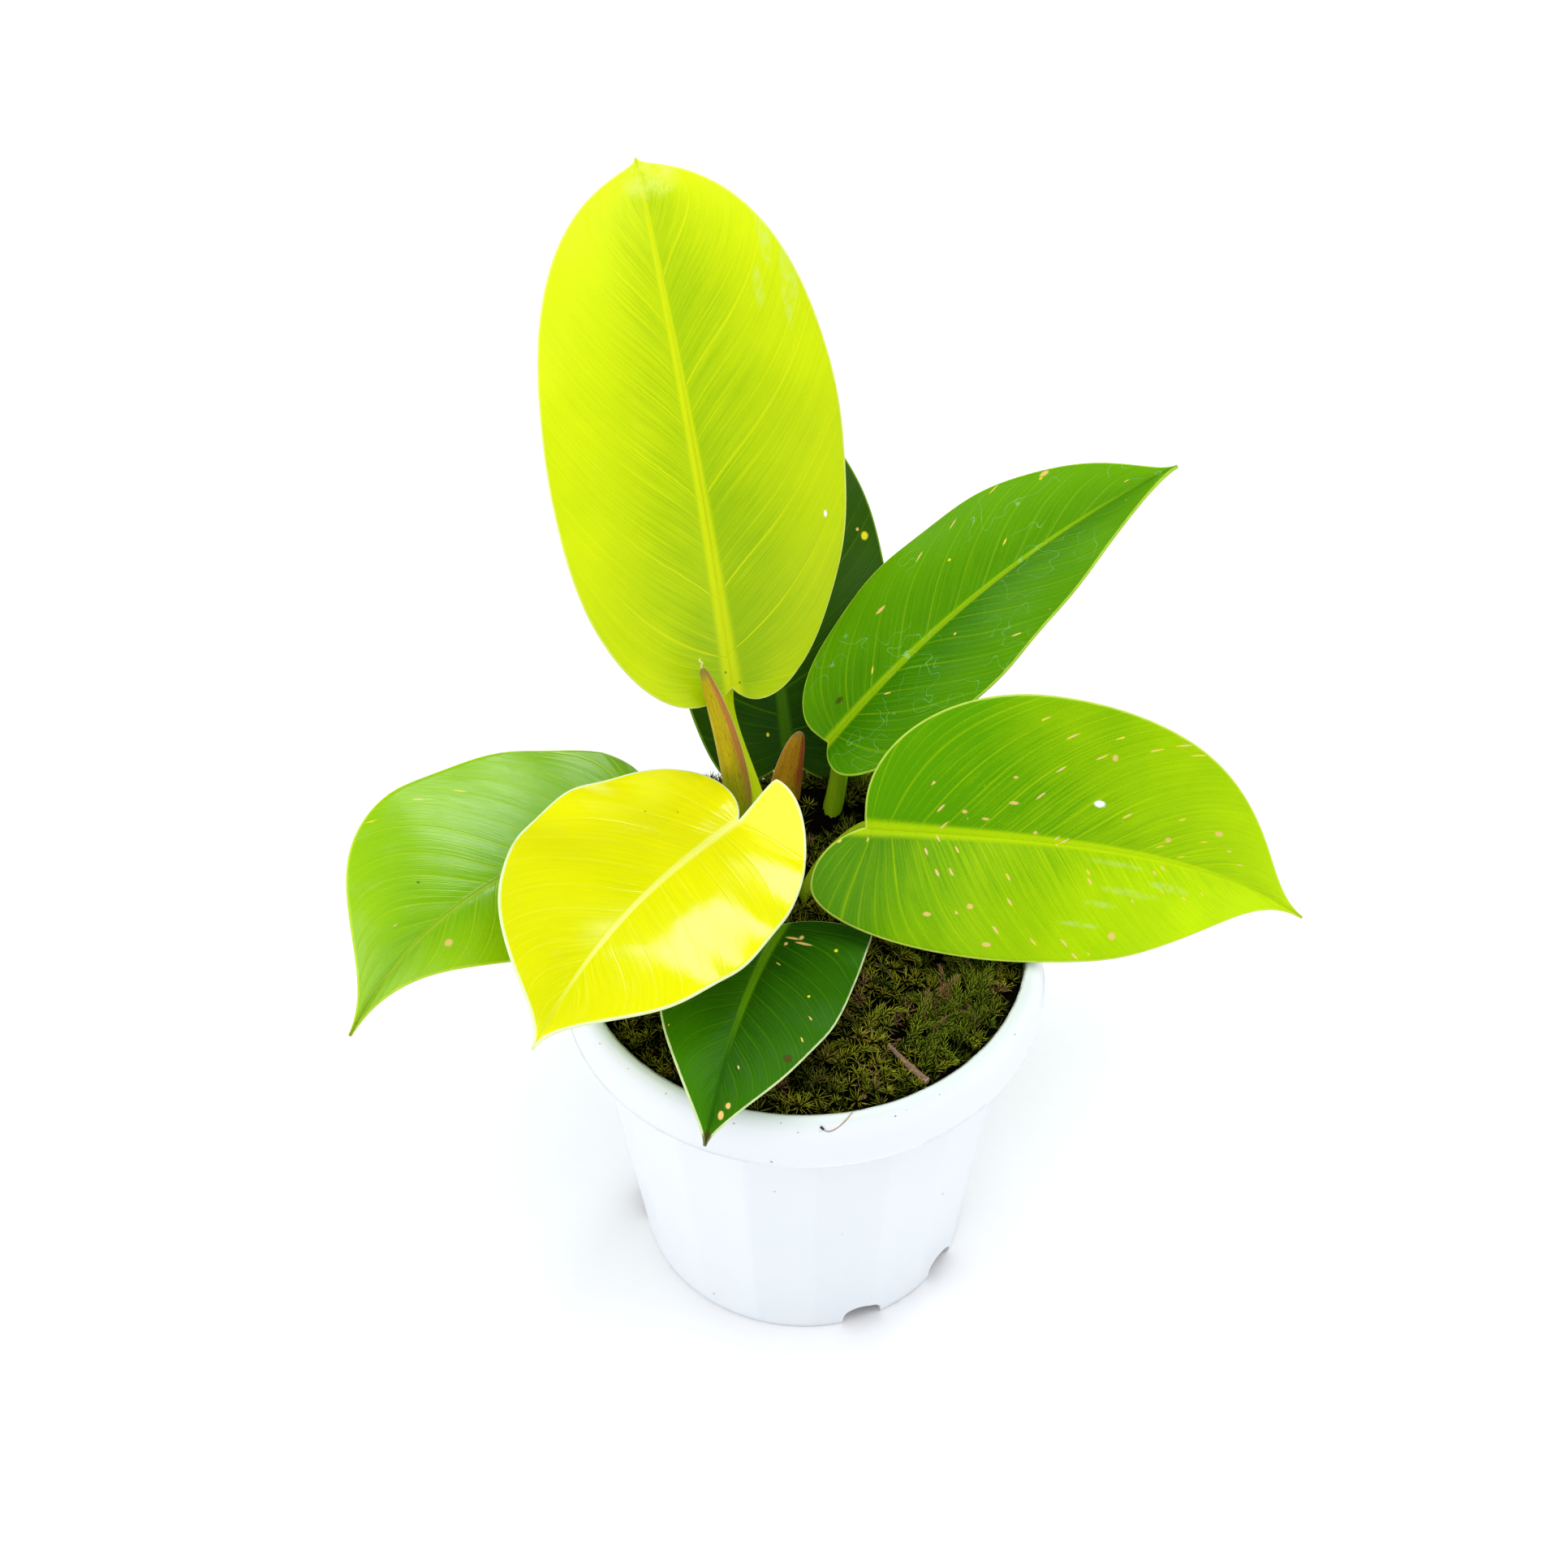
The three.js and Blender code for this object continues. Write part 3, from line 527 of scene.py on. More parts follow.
def shell(upper, lower, bulge):
    """Two faces over one grid, joined all round by a line of points midway between them, pushed
    out by bulge. Returns all points, the faces, and which grid points the line runs beside."""
    tall, wide, _ = upper.shape
    count = tall * wide
    at = np.arange(count).reshape(tall, wide)
    border = np.concatenate([at[:-1, 0], at[-1, :-1], at[:0:-1, -1], at[0, :0:-1]])
    upper, lower = upper.reshape(-1, 3), lower.reshape(-1, 3)
    middle = (upper[border] + lower[border]) / 2
    run = np.roll(middle, -1, axis=0) - np.roll(middle, 1, axis=0)
    middle = middle + bulge * unit(np.cross(run, upper[border] - lower[border]))
    ring = 2 * count + np.arange(len(border))
    after = np.roll(ring, -1)
    follow = np.roll(border, -1)
    top = grid_faces(tall, wide)[:, ::-1]
    faces = [
        top,
        top[:, ::-1] + count,
        np.stack([border, ring, after, follow], -1),
        np.stack([ring, border + count, follow + count, after], -1),
    ]
    return np.vstack([upper, lower, middle]), faces, border


def blade_piece(name, leaf, look):
    """The blade as two faces over one fine grid and a rounded edge. Its thickness falls from the
    midrib to the margin as a bell curve, and the veins' relief shows half as deep underneath."""
    x, y, reach, margin, number, distance = blade_halves(name, leaf, look)
    away = np.abs(y)
    share = x / leaf["length"]
    band = look.rib_width / MM * (1 - 0.9 * np.clip(share, 0, 1) ** 0.7) + 0.2
    relief = look.relief * vein_relief(share, away, reach, number, band)
    outer = np.linspace(0, 1, len(x))[:, None]
    rib = np.exp(-((y / MIDRIB_HALF_WIDTH) ** 2)) * (1 - 0.85 * outer)
    thick = MARGIN_THICKNESS + (MIDRIB_THICKNESS - MARGIN_THICKNESS) * rib
    upper = blade_points(leaf, x, y, 0 * x, relief)
    lower = blade_points(leaf, x, y, thick, 0.5 * relief)
    points, faces, border = shell(upper, lower, MARGIN_BULGE)

    def both(values):
        flat = values.ravel()
        return np.concatenate([flat, flat, flat[border]])

    margins = both(margin)
    margins[2 * x.size:] = 0
    marks = {
        "along": both(x),
        "across": both(y),
        "reach": both(reach),
        "margin": margins,
        "vein": both(number),
        "streak": both(distance),
        "rib": both(away / band),
        "upper": np.repeat([1.0, 0.0, 0.5], [x.size, x.size, len(border)]),
    }
    return put_mesh(f"{name}_blade", points, faces, marks)


def carried_rings(path, across, half_sizes, grid, cut=None):
    """Rings of an oval carried along a cubic path. half_sizes(t, turn) gives the two half sizes;
    the foot is level, and cut is the normal of the plane that ends the last ninth of the path."""
    steps, sides = grid
    t = np.linspace(0, 1, steps + 1)
    turn = around(sides)
    centre = bezier(path, t)
    along = bezier_slope(path, t)
    across = np.asarray(across, float)
    wide = unit(across - along * (along @ across)[:, None])
    deep = np.cross(along, wide)
    a, b = half_sizes(t[:, None], turn[None, :])
    points = (
        centre[:, None]
        + wide[:, None] * (a * np.cos(turn))[..., None]
        + deep[:, None] * (b * np.sin(turn))[..., None]
    )
    points[0, :, 2] = path[0][2]
    if cut is not None:
        shift = ((np.asarray(path[3], float) - points[-1]) @ cut) / (along[-1] @ cut)
        weight = np.clip((t - 8 / 9) * 9, 0, 1)
        points += weight[:, None, None] * shift[None, :, None] * along[:, None]
    return points, t, turn


def ring_piece(name, points, t, turn):
    """Closes carried rings with a fan at each end and puts them into a mesh."""
    grid = points.shape[:2]
    corners, faces = closed_rings(points, points[0].mean(0), points[-1].mean(0))
    grid_t = np.broadcast_to(t[:, None], grid).ravel()
    grid_turn = np.broadcast_to(turn[None, :], grid).ravel()
    marks = {
        "length": np.concatenate([grid_t, [0, 1]]),
        "wide": np.concatenate([np.cos(grid_turn), [0, 0]]),
        "deep": np.concatenate([np.sin(grid_turn), [0, 0]]),
    }
    return put_mesh(name, corners, faces, marks, STEM_CREASE)


def stalk_piece(name, leaf):
    """The leaf's stalk: an oval that tapers evenly, with shallow ribs along it, from just above
    the rootstock to a flat end just under the blade."""
    along, side, up = (axis[0] for axis in blade_axes(leaf, np.zeros(1)))
    top = np.array(leaf["join"]) + along * leaf["stalk"][3] * 0.8 - up * (MIDRIB_THICKNESS + GAP)
    arrival = unit(along * (1 - leaf["arrive"]) + up * leaf["arrive"])
    foot = np.array([*leaf["foot"], MIX_TOP])
    reach = np.linalg.norm(top - foot)
    path = [foot, foot + np.array([0, 0, reach * 0.35]), top - arrival * reach * 0.35, top]
    wide_foot, deep_foot, wide_top, deep_top = leaf["stalk"]

    def half_sizes(t, turn):
        ribs = 0.018 * (1 + np.cos(turn * 14 + 3 * t)) * smooth(0, 0.05, t) * (1 - smooth(0.93, 1, t))
        wide = wide_foot + (wide_top - wide_foot) * t
        deep = deep_foot + (deep_top - deep_foot) * t
        return wide * (1 - ribs), deep * (1 - ribs)

    return ring_piece(f"{name}_stalk", *carried_rings(path, side, half_sizes, STALK_GRID, cut=up))


def sheath_piece(name, sheath):
    """A sheath: a flat oval that swells above its foot and narrows to a point, with a keel on one
    face and shallow ribs round it."""
    half_width, half_depth = sheath["half"]

    def half_sizes(t, turn):
        swell = sheath["base"] + (1 - sheath["base"]) * smooth(0, 0.42, t)
        full = swell * np.sqrt(np.maximum(0, 1 - t**2.2))
        keel = 1 + 0.10 * np.exp(-(((turn - 1.5 * np.pi) / 0.35) ** 2)) - 0.05 * np.cos(turn * 9)
        return half_width * full + 0.3, (half_depth * full + 0.2) * keel * 0.95

    return ring_piece(f"{name}_sheath", *carried_rings(sheath["path"], (1, 0.1, 0), half_sizes, SHEATH_GRID))


def strand(points, radius, sides=6, steps=4):
    """A thin round thread through the points: rings across the curve, pointed at both ends.
    Returns its points, four-cornered faces and triangles."""
    line = through(points, steps)
    along = unit(np.gradient(line, axis=0))
    across = unit(np.cross(along, np.array([0.31, 0.52, 0.8])))
    other = np.cross(along, across)
    share = np.linspace(0, 1, len(line))
    size = radius * np.clip(np.minimum(share, 1 - share) * 8, 0.12, 1)
    turn = around(sides)
    ring = across[:, None] * np.cos(turn)[None, :, None] + other[:, None] * np.sin(turn)[None, :, None]
    rings = line[:, None] + ring * size[:, None, None]
    rows = len(line)
    body = grid_faces(rows, sides, wrap=True)
    k = np.arange(1, sides - 1)
    last = (rows - 1) * sides
    caps = np.vstack([
        np.stack([0 * k, k + 1, k], -1),
        np.stack([last + 0 * k, last + k, last + k + 1], -1),
    ])
    return rings.reshape(-1, 3), body, caps


def mound_height(x, y):
    """The moss as a whole: a low mound that falls by the cube of the distance out, with slow lumps,
    and a bell-shaped heap at the back where it has grown up over the rim."""
    share = np.hypot(x, y) / MOSS_RADIUS
    mound = MOSS_EDGE + (MOSS_CROWN - MOSS_EDGE) * (1 - share**3)
    heap = np.exp(-(((x - HEAP_X) / HEAP_HALF_WIDTH) ** 2) - ((y - HEAP_Y) / HEAP_HALF_DEPTH) ** 2)
    uneven = np.sin(x * 0.19 + 1) * np.cos(y * 0.23) + 0.6 * np.sin(x * 0.41 - y * 0.33)
    return mound + HEAP_HEIGHT * heap + uneven * 0.9 * (1 - share**6)


def hollows(x, y):
    """How far a spot lies in a gap between cushions of moss, from 0 to 1: the low part of two
    crossed waves, each bent by a third."""
    wave = np.sin(x * 0.36 + 1.1 * np.sin(y * 0.27)) * np.cos(y * 0.33 + 0.9 * np.sin(x * 0.22))
    return smooth(0.15, 0.65, -wave)


def moss_height(x, y):
    """The mound less its hollows, which fade out at the rim."""
    share = np.hypot(x, y) / MOSS_RADIUS
    return mound_height(x, y) - HOLLOW_DEPTH * hollows(x, y) * (1 - share**8)


def stems():
    """Where each stalk and sheath comes up through the moss: x, y and radius to keep clear."""
    found = [(*leaf["foot"], leaf["stalk"][0] + 0.5) for leaf in LEAVES.values()]
    found += [(*sheath["path"][0][:2], sheath["half"][0] + 0.3) for sheath in SHEATHS.values()]
    return np.array(found, float)


def clear_of_stems(x, y, spare):
    """True where a spot is at least spare outside every stem."""
    near = stems()
    gaps = np.hypot(x[:, None] - near[None, :, 0], y[:, None] - near[None, :, 1]) - near[None, :, 2]
    return gaps.min(1) > spare


def lip_height(radius):
    """How high the pot's lip stands at a distance from the axis, read from its rounded section."""
    return np.interp(radius, LIP_RADII, LIP_HEIGHTS)


def moss_mat_piece():
    """The felt under the tufts, whose near-black colour is partly painted shade: rings over the mound,
    a little lower, roughened by three sines, closed by a flat underside just above the mix. Its rings
    run the other way round than those of the other pieces, so its faces are turned over."""
    rings, sides = FELT_GRID
    radius = np.linspace(0.4, MOSS_RADIUS, rings)[:, None]
    x, y = polar(radius, around(sides)[None, :])
    rough = np.sin(x * 1.9 + np.sin(y * 1.3)) * np.sin(y * 2.1) + 0.7 * np.sin(x * 4.3 + y * 3.1)
    top = np.stack([x, y, moss_height(x, y) - FELT_DROP + 0.45 * rough], -1)
    base = np.stack([x, y, np.full_like(x, ON_MIX)], -1)[::-1]
    crown = (0, 0, float(moss_height(0, 0)) - FELT_DROP)
    points, (body, fans) = closed_rings(np.vstack([top, base]), crown, (0, 0, ON_MIX))
    return put_mesh("moss_mat", points, [body[:, ::-1], fans[:, [0, 2, 1]]])


def needles(base, direction, length, half_width):
    """Three-sided spikes: a small triangle across the direction at each base, and a tip.
    Returns points with four rows for each needle, and its four faces."""
    base, direction, length = base.reshape(-1, 3), direction.reshape(-1, 3), length.reshape(-1, 1)
    helper = np.where(np.abs(direction[:, 2:]) < 0.9, [[0, 0, 1.0]], [[1.0, 0, 0]])
    across = unit(np.cross(direction, helper))
    other = np.cross(direction, across)
    corners = [
        base + (across * math.cos(angle) + other * math.sin(angle)) * half_width
        for angle in around(3)
    ]
    points = np.stack([*corners, base + direction * length], 1).reshape(-1, 3)
    first = 4 * np.arange(len(base))[:, None, None]
    spike = np.array([[0, 1, 3], [1, 2, 3], [2, 0, 3], [0, 2, 1]])
    return points, (first + spike).reshape(-1, 3)


def moss_stars_piece(moss):
    """Star tufts on a golden-angle spiral over the mound, and more where the moss has crept over
    the back of the lip. Each has three rings of needles, steeper inwards, leaning with the tuft."""
    random = np.random.default_rng(moss.seed)
    count, per = moss.tuft_count, STAR_NEEDLES
    order = np.arange(count)
    radius = (MOSS_RADIUS - 0.8) * np.sqrt((order + 0.5) / count) + random.normal(0, 0.35, count)
    turn = GOLDEN_ANGLE * order + random.normal(0, 0.02, count)
    x, y = polar(radius, turn)
    keep = clear_of_stems(x, y, 0.8) & (radius < MOSS_RADIUS - 0.3)
    keep &= random.random(count) > 0.55 * hollows(x, y)
    over = moss.over_count
    turn_over = np.radians(BACK + LIP_TUFT_SPAN * (2 * random.random(over) - 1))
    x_over, y_over = polar(LIP_TUFT_START + LIP_TUFT_BAND * random.random(over), turn_over)
    x = np.concatenate([x[keep], x_over])
    y = np.concatenate([y[keep], y_over])
    count = len(x)
    patch = np.sin(x * 0.13 + 2) * np.sin(y * 0.16 - 0.5) + 0.5 * np.sin(x * 0.31 + y * 0.22)
    size = (0.7 + 0.6 * random.random(count)) * (1 + 0.12 * patch)
    hollow_shade = hollows(x, y)
    low = random.normal(0, 0.8, count) - 1.1
    ground = np.maximum(moss_height(x, y) + low, lip_height(np.hypot(x, y)) - 0.5)
    ground[-over:] += 3.5 * random.random(over)
    centre = np.stack([x, y, ground], -1)
    lean = np.stack([random.normal(0, 0.28, count), random.normal(0, 0.28, count), np.ones(count)], -1)
    outward = np.stack([x, y, 0 * x], -1) / MOSS_RADIUS
    lean = unit(lean + outward * 0.25)
    side = unit(np.cross(lean, np.array([0.4, 1.0, 0.1])))
    other = np.cross(lean, side)
    leg = np.arange(per)
    angle = leg * 2 * np.pi * 5 / per + random.random((count, 1)) * 6.28
    angle = angle + random.normal(0, 0.18, (count, per))
    steep = np.radians(np.array(STAR_STEEPNESS)[leg % 3] + random.normal(0, 8, (count, per)))
    direction = (
        side[:, None] * (np.cos(angle) * np.cos(steep))[..., None]
        + other[:, None] * (np.sin(angle) * np.cos(steep))[..., None]
        + lean[:, None] * np.sin(steep)[..., None]
    )
    length = moss.needle_length / MM * size[:, None] * (0.75 + 0.5 * random.random((count, per)))
    base = centre[:, None] - direction * 0.35
    points, faces = needles(base, direction, length, moss.needle_width / MM / 2)
    # Painted shade: tufts in the hollows get a darker tint.
    tint = np.clip(0.5 + 0.2 * patch - 0.5 * hollow_shade + random.normal(0, 0.28, count), 0, 1)
    brown = (random.random(count) < 0.05 + 0.2 * (patch < -0.8)).astype(float)
    fresh = smooth(12, 40, x + random.normal(0, 8, count)) * (random.random(count) < 0.5)
    marks = {
        "tip": np.tile([0.0, 0.0, 0.0, 1.0], count * per),
        "tint": np.repeat(tint, per * 4) + np.repeat(random.normal(0, 0.15, count * per), 4),
        "brown": np.repeat(brown, per * 4),
        "fresh": np.repeat(fresh, per * 4),
    }
    return put_mesh("moss_stars", points, [faces], marks)


def moss_shoots_piece(moss):
    """Longer feathery shoots, crowded along the right rim and sparser elsewhere: a bent stem with
    needles set round it in a spiral, shorter toward its tip."""
    random = np.random.default_rng(moss.seed + 1)
    count, per = moss.shoot_count, SHOOT_NEEDLES
    crowd = random.random(count) < 0.5
    turn = np.where(crowd, -1.0 + 1.25 * random.random(count), 2 * np.pi * random.random(count))
    near_rim = 0.72 + 0.24 * random.random(count)
    anywhere = np.sqrt(0.2 + 0.7 * random.random(count))
    radius = MOSS_RADIUS * np.where(crowd, near_rim, anywhere)
    x, y = polar(radius, turn)
    keep = clear_of_stems(x, y, 4)
    x, y, crowd, turn = x[keep], y[keep], crowd[keep], turn[keep]
    count = len(x)
    swept = turn + 2.0 + random.normal(0, 0.7, count)
    heading = np.where(crowd, swept, 2 * np.pi * random.random(count))
    flat = np.stack([np.cos(heading), np.sin(heading), 0 * heading], -1)
    length = np.where(crowd, 8.0, 6.0) + 5 * random.random(count)
    foot = np.stack([x, y, moss_height(x, y) - 0.4], -1)
    t = np.linspace(0.04, 1, per)
    rise = np.sin(t * 2.2)[None, :, None] * np.array([0, 0, 1.0]) * 0.45
    line = foot[:, None] + (flat[:, None] * t[None, :, None] + rise) * length[:, None, None]
    reach = np.hypot(line[..., 0], line[..., 1])
    over = np.maximum(0, reach - (MOSS_RADIUS - 0.5))
    line[..., :2] *= (1 - over / np.maximum(reach, 1))[..., None]
    along = unit(np.gradient(line, axis=1))
    side = unit(np.cross(along, np.array([0, 0, 1.0])))
    other = np.cross(side, along)
    angle = np.arange(per) * 2.4 + random.random((count, 1)) * 6.28
    spread = np.radians(40 - 18 * t)[None, :, None]
    direction = unit(
        (side * np.cos(angle)[..., None] + other * np.sin(angle)[..., None]) * np.sin(spread)
        + along * np.cos(spread)
    )
    size = (3.0 - 1.2 * t)[None, :] * (0.85 + 0.3 * random.random((count, per)))
    points, faces = needles(line, direction, size, 0.25)
    tint = np.clip(0.65 + random.normal(0, 0.3, count), 0, 1)
    marks = {
        "tip": np.tile([0.25, 0.25, 0.25, 1.0], count * per),
        "tint": np.repeat(tint, per * 4) + np.repeat(random.normal(0, 0.12, count * per), 4),
        "brown": np.repeat((random.random(count) < 0.12).astype(float), per * 4),
        "fresh": np.repeat(np.where(crowd, 1.0, 0.5), per * 4),
    }
    return put_mesh("moss_shoots", points, [faces], marks)


def lumps(centres, sizes, random):
    """Small uneven crumbs: eight-sided stones, each corner moved at random. Returns their points,
    no four-cornered faces, and their triangles."""
    corners = np.array([[1, 0, 0], [0, 1, 0], [-1, 0, 0], [0, -1, 0], [0, 0, 1], [0, 0, -1]], float)
    faces = np.array([[0, 1, 4], [1, 2, 4], [2, 3, 4], [3, 0, 4], [1, 0, 5], [2, 1, 5], [3, 2, 5], [0, 3, 5]])
    count = len(centres)
    shape = corners[None] * (0.65 + 0.7 * random.random((count, 6, 1)))
    points = centres[:, None] + shape * sizes[:, None, :]
    start = 6 * np.arange(count)[:, None, None]
    return points.reshape(-1, 3), np.empty((0, 4), int), (faces[None] + start).reshape(-1, 3)


def moss_litter_piece(moss):
    """Bark crumbs and dry brown threads that lie in the moss."""
    random = np.random.default_rng(moss.seed + 2)
    turn = random.random(BARK_CRUMBS) * 2 * np.pi
    radius = (MOSS_RADIUS - 2) * np.sqrt(random.random(BARK_CRUMBS))
    x, y = polar(radius, turn)
    keep = clear_of_stems(x, y, 2)
    x, y = x[keep], y[keep]
    count = len(x)
    sizes = np.stack([
        0.35 + 0.9 * random.random(count),
        0.35 + 0.8 * random.random(count),
        0.3 + 0.4 * random.random(count),
    ], -1)
    centres = np.stack([x, y, moss_height(x, y) - 0.4 + 1.1 * random.random(count)], -1)
    parts = [(*lumps(centres, sizes, random), 0)]
    for _ in range(DRY_THREADS):
        turn, share = random.random() * 2 * np.pi, math.sqrt(random.random())
        start = np.array([math.cos(turn), math.sin(turn)]) * share * (MOSS_RADIUS - 7)
        if not clear_of_stems(start[:1], start[1:], 6)[0]:
            continue
        heading = random.random() * 2 * np.pi
        bends = np.cumsum(random.normal(0, 0.5, 4)) + heading
        steps = np.stack([np.cos(bends), np.sin(bends)], -1) * (0.9 + 1.2 * random.random())
        flat = start + np.vstack([[0, 0], np.cumsum(steps, 0)])
        height = moss_height(flat[:, 0], flat[:, 1]) + 0.9 + random.normal(0, 0.35, 5)
        parts.append((*strand(np.column_stack([flat, height]), 0.14, sides=4, steps=2), 1))
    points, quads, triangles, kinds = joined(parts)
    return put_mesh("moss_litter", points, [triangles, quads], {"number": kinds})


def twig_piece():
    """The dead twig: a thin tapering stick with a knuckle, broken off square at its thick end."""
    places = [(24.5, -42.0, 0.6), (27.5, -46.5, 1.0), (31.5, -50.5, 0.4), (35.5, -54.0, 0.6)]
    path = [(x, y, float(mound_height(x, y)) + lift) for x, y, lift in places]

    def half_sizes(t, turn):
        knuckle = 1 + 0.22 * np.exp(-(((t - 0.62) / 0.05) ** 2)) + 0.05 * np.sin(turn * 5 + t * 9)
        return (0.7 + 0.45 * t) * knuckle, (0.65 + 0.45 * t) * knuckle

    points, t, turn = carried_rings(path, (0, 0.2, 1), half_sizes, TWIG_GRID)
    points[0, :, 2] = points[1, :, 2]
    return ring_piece("dead_twig", points, t, turn)


def round_pot(degrees, radius, height):
    """Points at an angle to the right of the front, a distance from the axis and a height."""
    turn = np.radians(degrees)
    return np.stack(np.broadcast_arrays(radius * np.sin(turn), -radius * np.cos(turn), height), -1)


def wall_radius(height):
    """The pot wall's outer radius, before fluting."""
    return BASE_RADIUS + (BODY_TOP_RADIUS - BASE_RADIUS) * height / BODY_TOP_HEIGHT


def flute(angle, height):
    """How far the wall is drawn in: a half sine between upright ridges, fading at foot and rim."""
    share = ((angle - FIRST_RIDGE) * FLUTES / 360) % 1
    fade = smooth(*FLUTE_FOOT, height) * (1 - smooth(*FLUTE_TOP, height))
    return FLUTE_DEPTH * fade * np.sin(np.pi * share)


def pot_profile():
    """Half section of the pot as radius and height, from the middle of its underside, up the wall,
    round the rolled rim and down inside to the middle of its floor."""
    inside = [(wall_radius(z) - WALL, z) for z in (108, 98, 86, 74, 62, 50, 38, 26, 14, 10)]
    outside = [(wall_radius(z), z) for z in (3, 6, 10, 14, 26, 38, 50, 62, 74, 86, 98, 103, 108)]
    corner = [(BASE_RADIUS - 1.5, 0), (BASE_RADIUS - 0.8, 0.12), (BASE_RADIUS - 0.3, 0.6)]
    foot = [(0, 0), (20, 0), (40, 0), *corner]
    skirt = [(BODY_TOP_RADIUS + 0.6, 112), (BODY_TOP_RADIUS + 1, 118), (BODY_TOP_RADIUS + 1, 123.4)]
    rim = through(
        [
            (RIM_RADIUS - 3.4, 123.4), (RIM_RADIUS - 2, 120), (RIM_RADIUS - 1.5, RIM_BOTTOM + 0.4),
            (RIM_RADIUS - 0.7, RIM_BOTTOM), (RIM_RADIUS + 0.1, RIM_BOTTOM + 0.9),
            (RIM_RADIUS - 0.4, RIM_BOTTOM + 2.2), (RIM_RADIUS - 1, 121.5), (RIM_RADIUS - 2.1, 125.7),
            (RIM_RADIUS - 3.7, 128.1), (LIP_RADIUS, POT_HEIGHT), (LIP_RADIUS - 0.9, POT_HEIGHT - 0.4),
            (LIP_RADIUS - 1.3, POT_HEIGHT - 2), (BODY_TOP_RADIUS - WALL + 0.7, 112),
        ],
        steps=6,
    )
    floor = [(wall_radius(2) - WALL - 1.6, 2), (30, 2), (0, 2)]
    return np.vstack([foot, outside, skirt, rim, inside, floor])


def drain_cutter():
    """Five arched blocks through the pot's bottom corner, in one mesh."""
    turn = np.linspace(0, np.pi, 13)
    arch = np.column_stack([np.cos(turn) * DRAIN_WIDTH / 2, DRAIN_HEIGHT * (0.35 + 0.65 * np.sin(turn))])
    shape = np.vstack([arch, [(-DRAIN_WIDTH / 2, -2), (DRAIN_WIDTH / 2, -2)]])
    count = len(shape)
    k = np.arange(count)
    points, quads, ends = [], [], []
    for number, angle in enumerate(DRAIN_ANGLES):
        spin = math.radians(angle)
        out = np.array([math.sin(spin), -math.cos(spin), 0])
        side = np.array([math.cos(spin), math.sin(spin), 0])
        for radius in DRAIN_REACH:
            points.append(out * radius + shape[:, :1] * side + shape[:, 1:] * np.array([0, 0, 1.0]))
        first = 2 * number * count
        after = (k + 1) % count
        quads.append(np.stack([first + k, first + after, first + count + after, first + count + k], -1))
        ends.append(np.stack([first + k[::-1], first + count + k]))
    return put_mesh("drain_cutter", np.vstack(points), [np.vstack(quads), np.vstack(ends)])


def pot_piece():
    """The pot: its half section turned about Z, drawn in by the flutes, less the drain arches."""
    profile = pot_profile()
    radius, height = profile[1:-1, 0][:, None], profile[1:-1, 1][:, None]
    angle = 360 * np.arange(POT_SIDES)[None, :] / POT_SIDES
    drawn = radius - flute(angle, height) * np.minimum(1, radius / 40) * radius / BASE_RADIUS
    rings = round_pot(angle, drawn, height)
    pot = put_mesh("nursery_pot", *closed_rings(rings, (0, 0, profile[0, 1]), (0, 0, profile[-1, 1])))
    cutter = drain_cutter()
    cut = pot.modifiers.new("drains", "BOOLEAN")
    cut.operation = "DIFFERENCE"
    cut.solver = "EXACT"
    cut.object = cutter
    bpy.context.view_layer.update()
    shaped = bpy.data.meshes.new_from_object(pot.evaluated_get(bpy.context.evaluated_depsgraph_get()))
    pot.modifiers.remove(cut)
    pot.data = shaped
    bpy.data.objects.remove(cutter)
    shaped.shade_smooth()
    shaped.set_sharp_from_angle(angle=math.radians(POT_CREASE))
    return pot


def rim_litter_piece():
    """The dry thread that hangs over the lip with its seed-like end, and crumbs of dirt on the rim."""
    random = np.random.default_rng(RIM_SEED)

    def on_rim(degrees, radii, above):
        radii = np.array(radii)
        return round_pot(degrees, radii, lip_height(radii) + above)

    thread = on_rim([12.0, 11.0, 9.4, 7.4, 5.4, 4.2, 3.6], [67.5, 68.6, 70.2, 71.3, 71.9, 71.7, 71.2], 0.3)
    seed = on_rim([4.0, 3.6, 3.2], [71.6, 71.3, 71.0], 0.4)
    degrees = [-58, -47, -35, -26, -17, -6, -2, 3, 9, 13, 21, 24, 33, 47, 60, 95, 140, 200, 260]
    height = CRUMB_LOW + CRUMB_RISE * random.random(len(degrees))
    radius = CRUMB_RADIUS - (height - CRUMB_LOW) * CRUMB_LEAN
    sizes = 0.16 + 0.28 * random.random((len(degrees), 3))
    crumbs = lumps(round_pot(degrees, radius, height), sizes, random)
    points, quads, triangles, kinds = joined([
        (*strand(thread, 0.13), 0),
        (*strand(seed, 0.4, sides=8), 1),
        (*crumbs, 2),
    ])
    return put_mesh("rim_litter", points, [quads, triangles], {"number": kinds})


def sums(operation, swapped=False):
    """An operator that adds one Math node; swapped puts its values the other way round."""

    def operator(self, *others):
        values = (self, *others)
        return self.shading.math(operation, *(reversed(values) if swapped else values))

    return operator


class Wire:
    """The output of a node, for use in Python sums: each operator adds one Math node."""

    def __init__(self, shading, socket):
        self.shading = shading
        self.socket = socket

    __add__ = __radd__ = sums("ADD")
    __sub__ = sums("SUBTRACT")
    __rsub__ = sums("SUBTRACT", swapped=True)
    __mul__ = __rmul__ = sums("MULTIPLY")
    __pow__ = sums("POWER")
    __lt__ = sums("LESS_THAN")
    __abs__ = sums("ABSOLUTE")


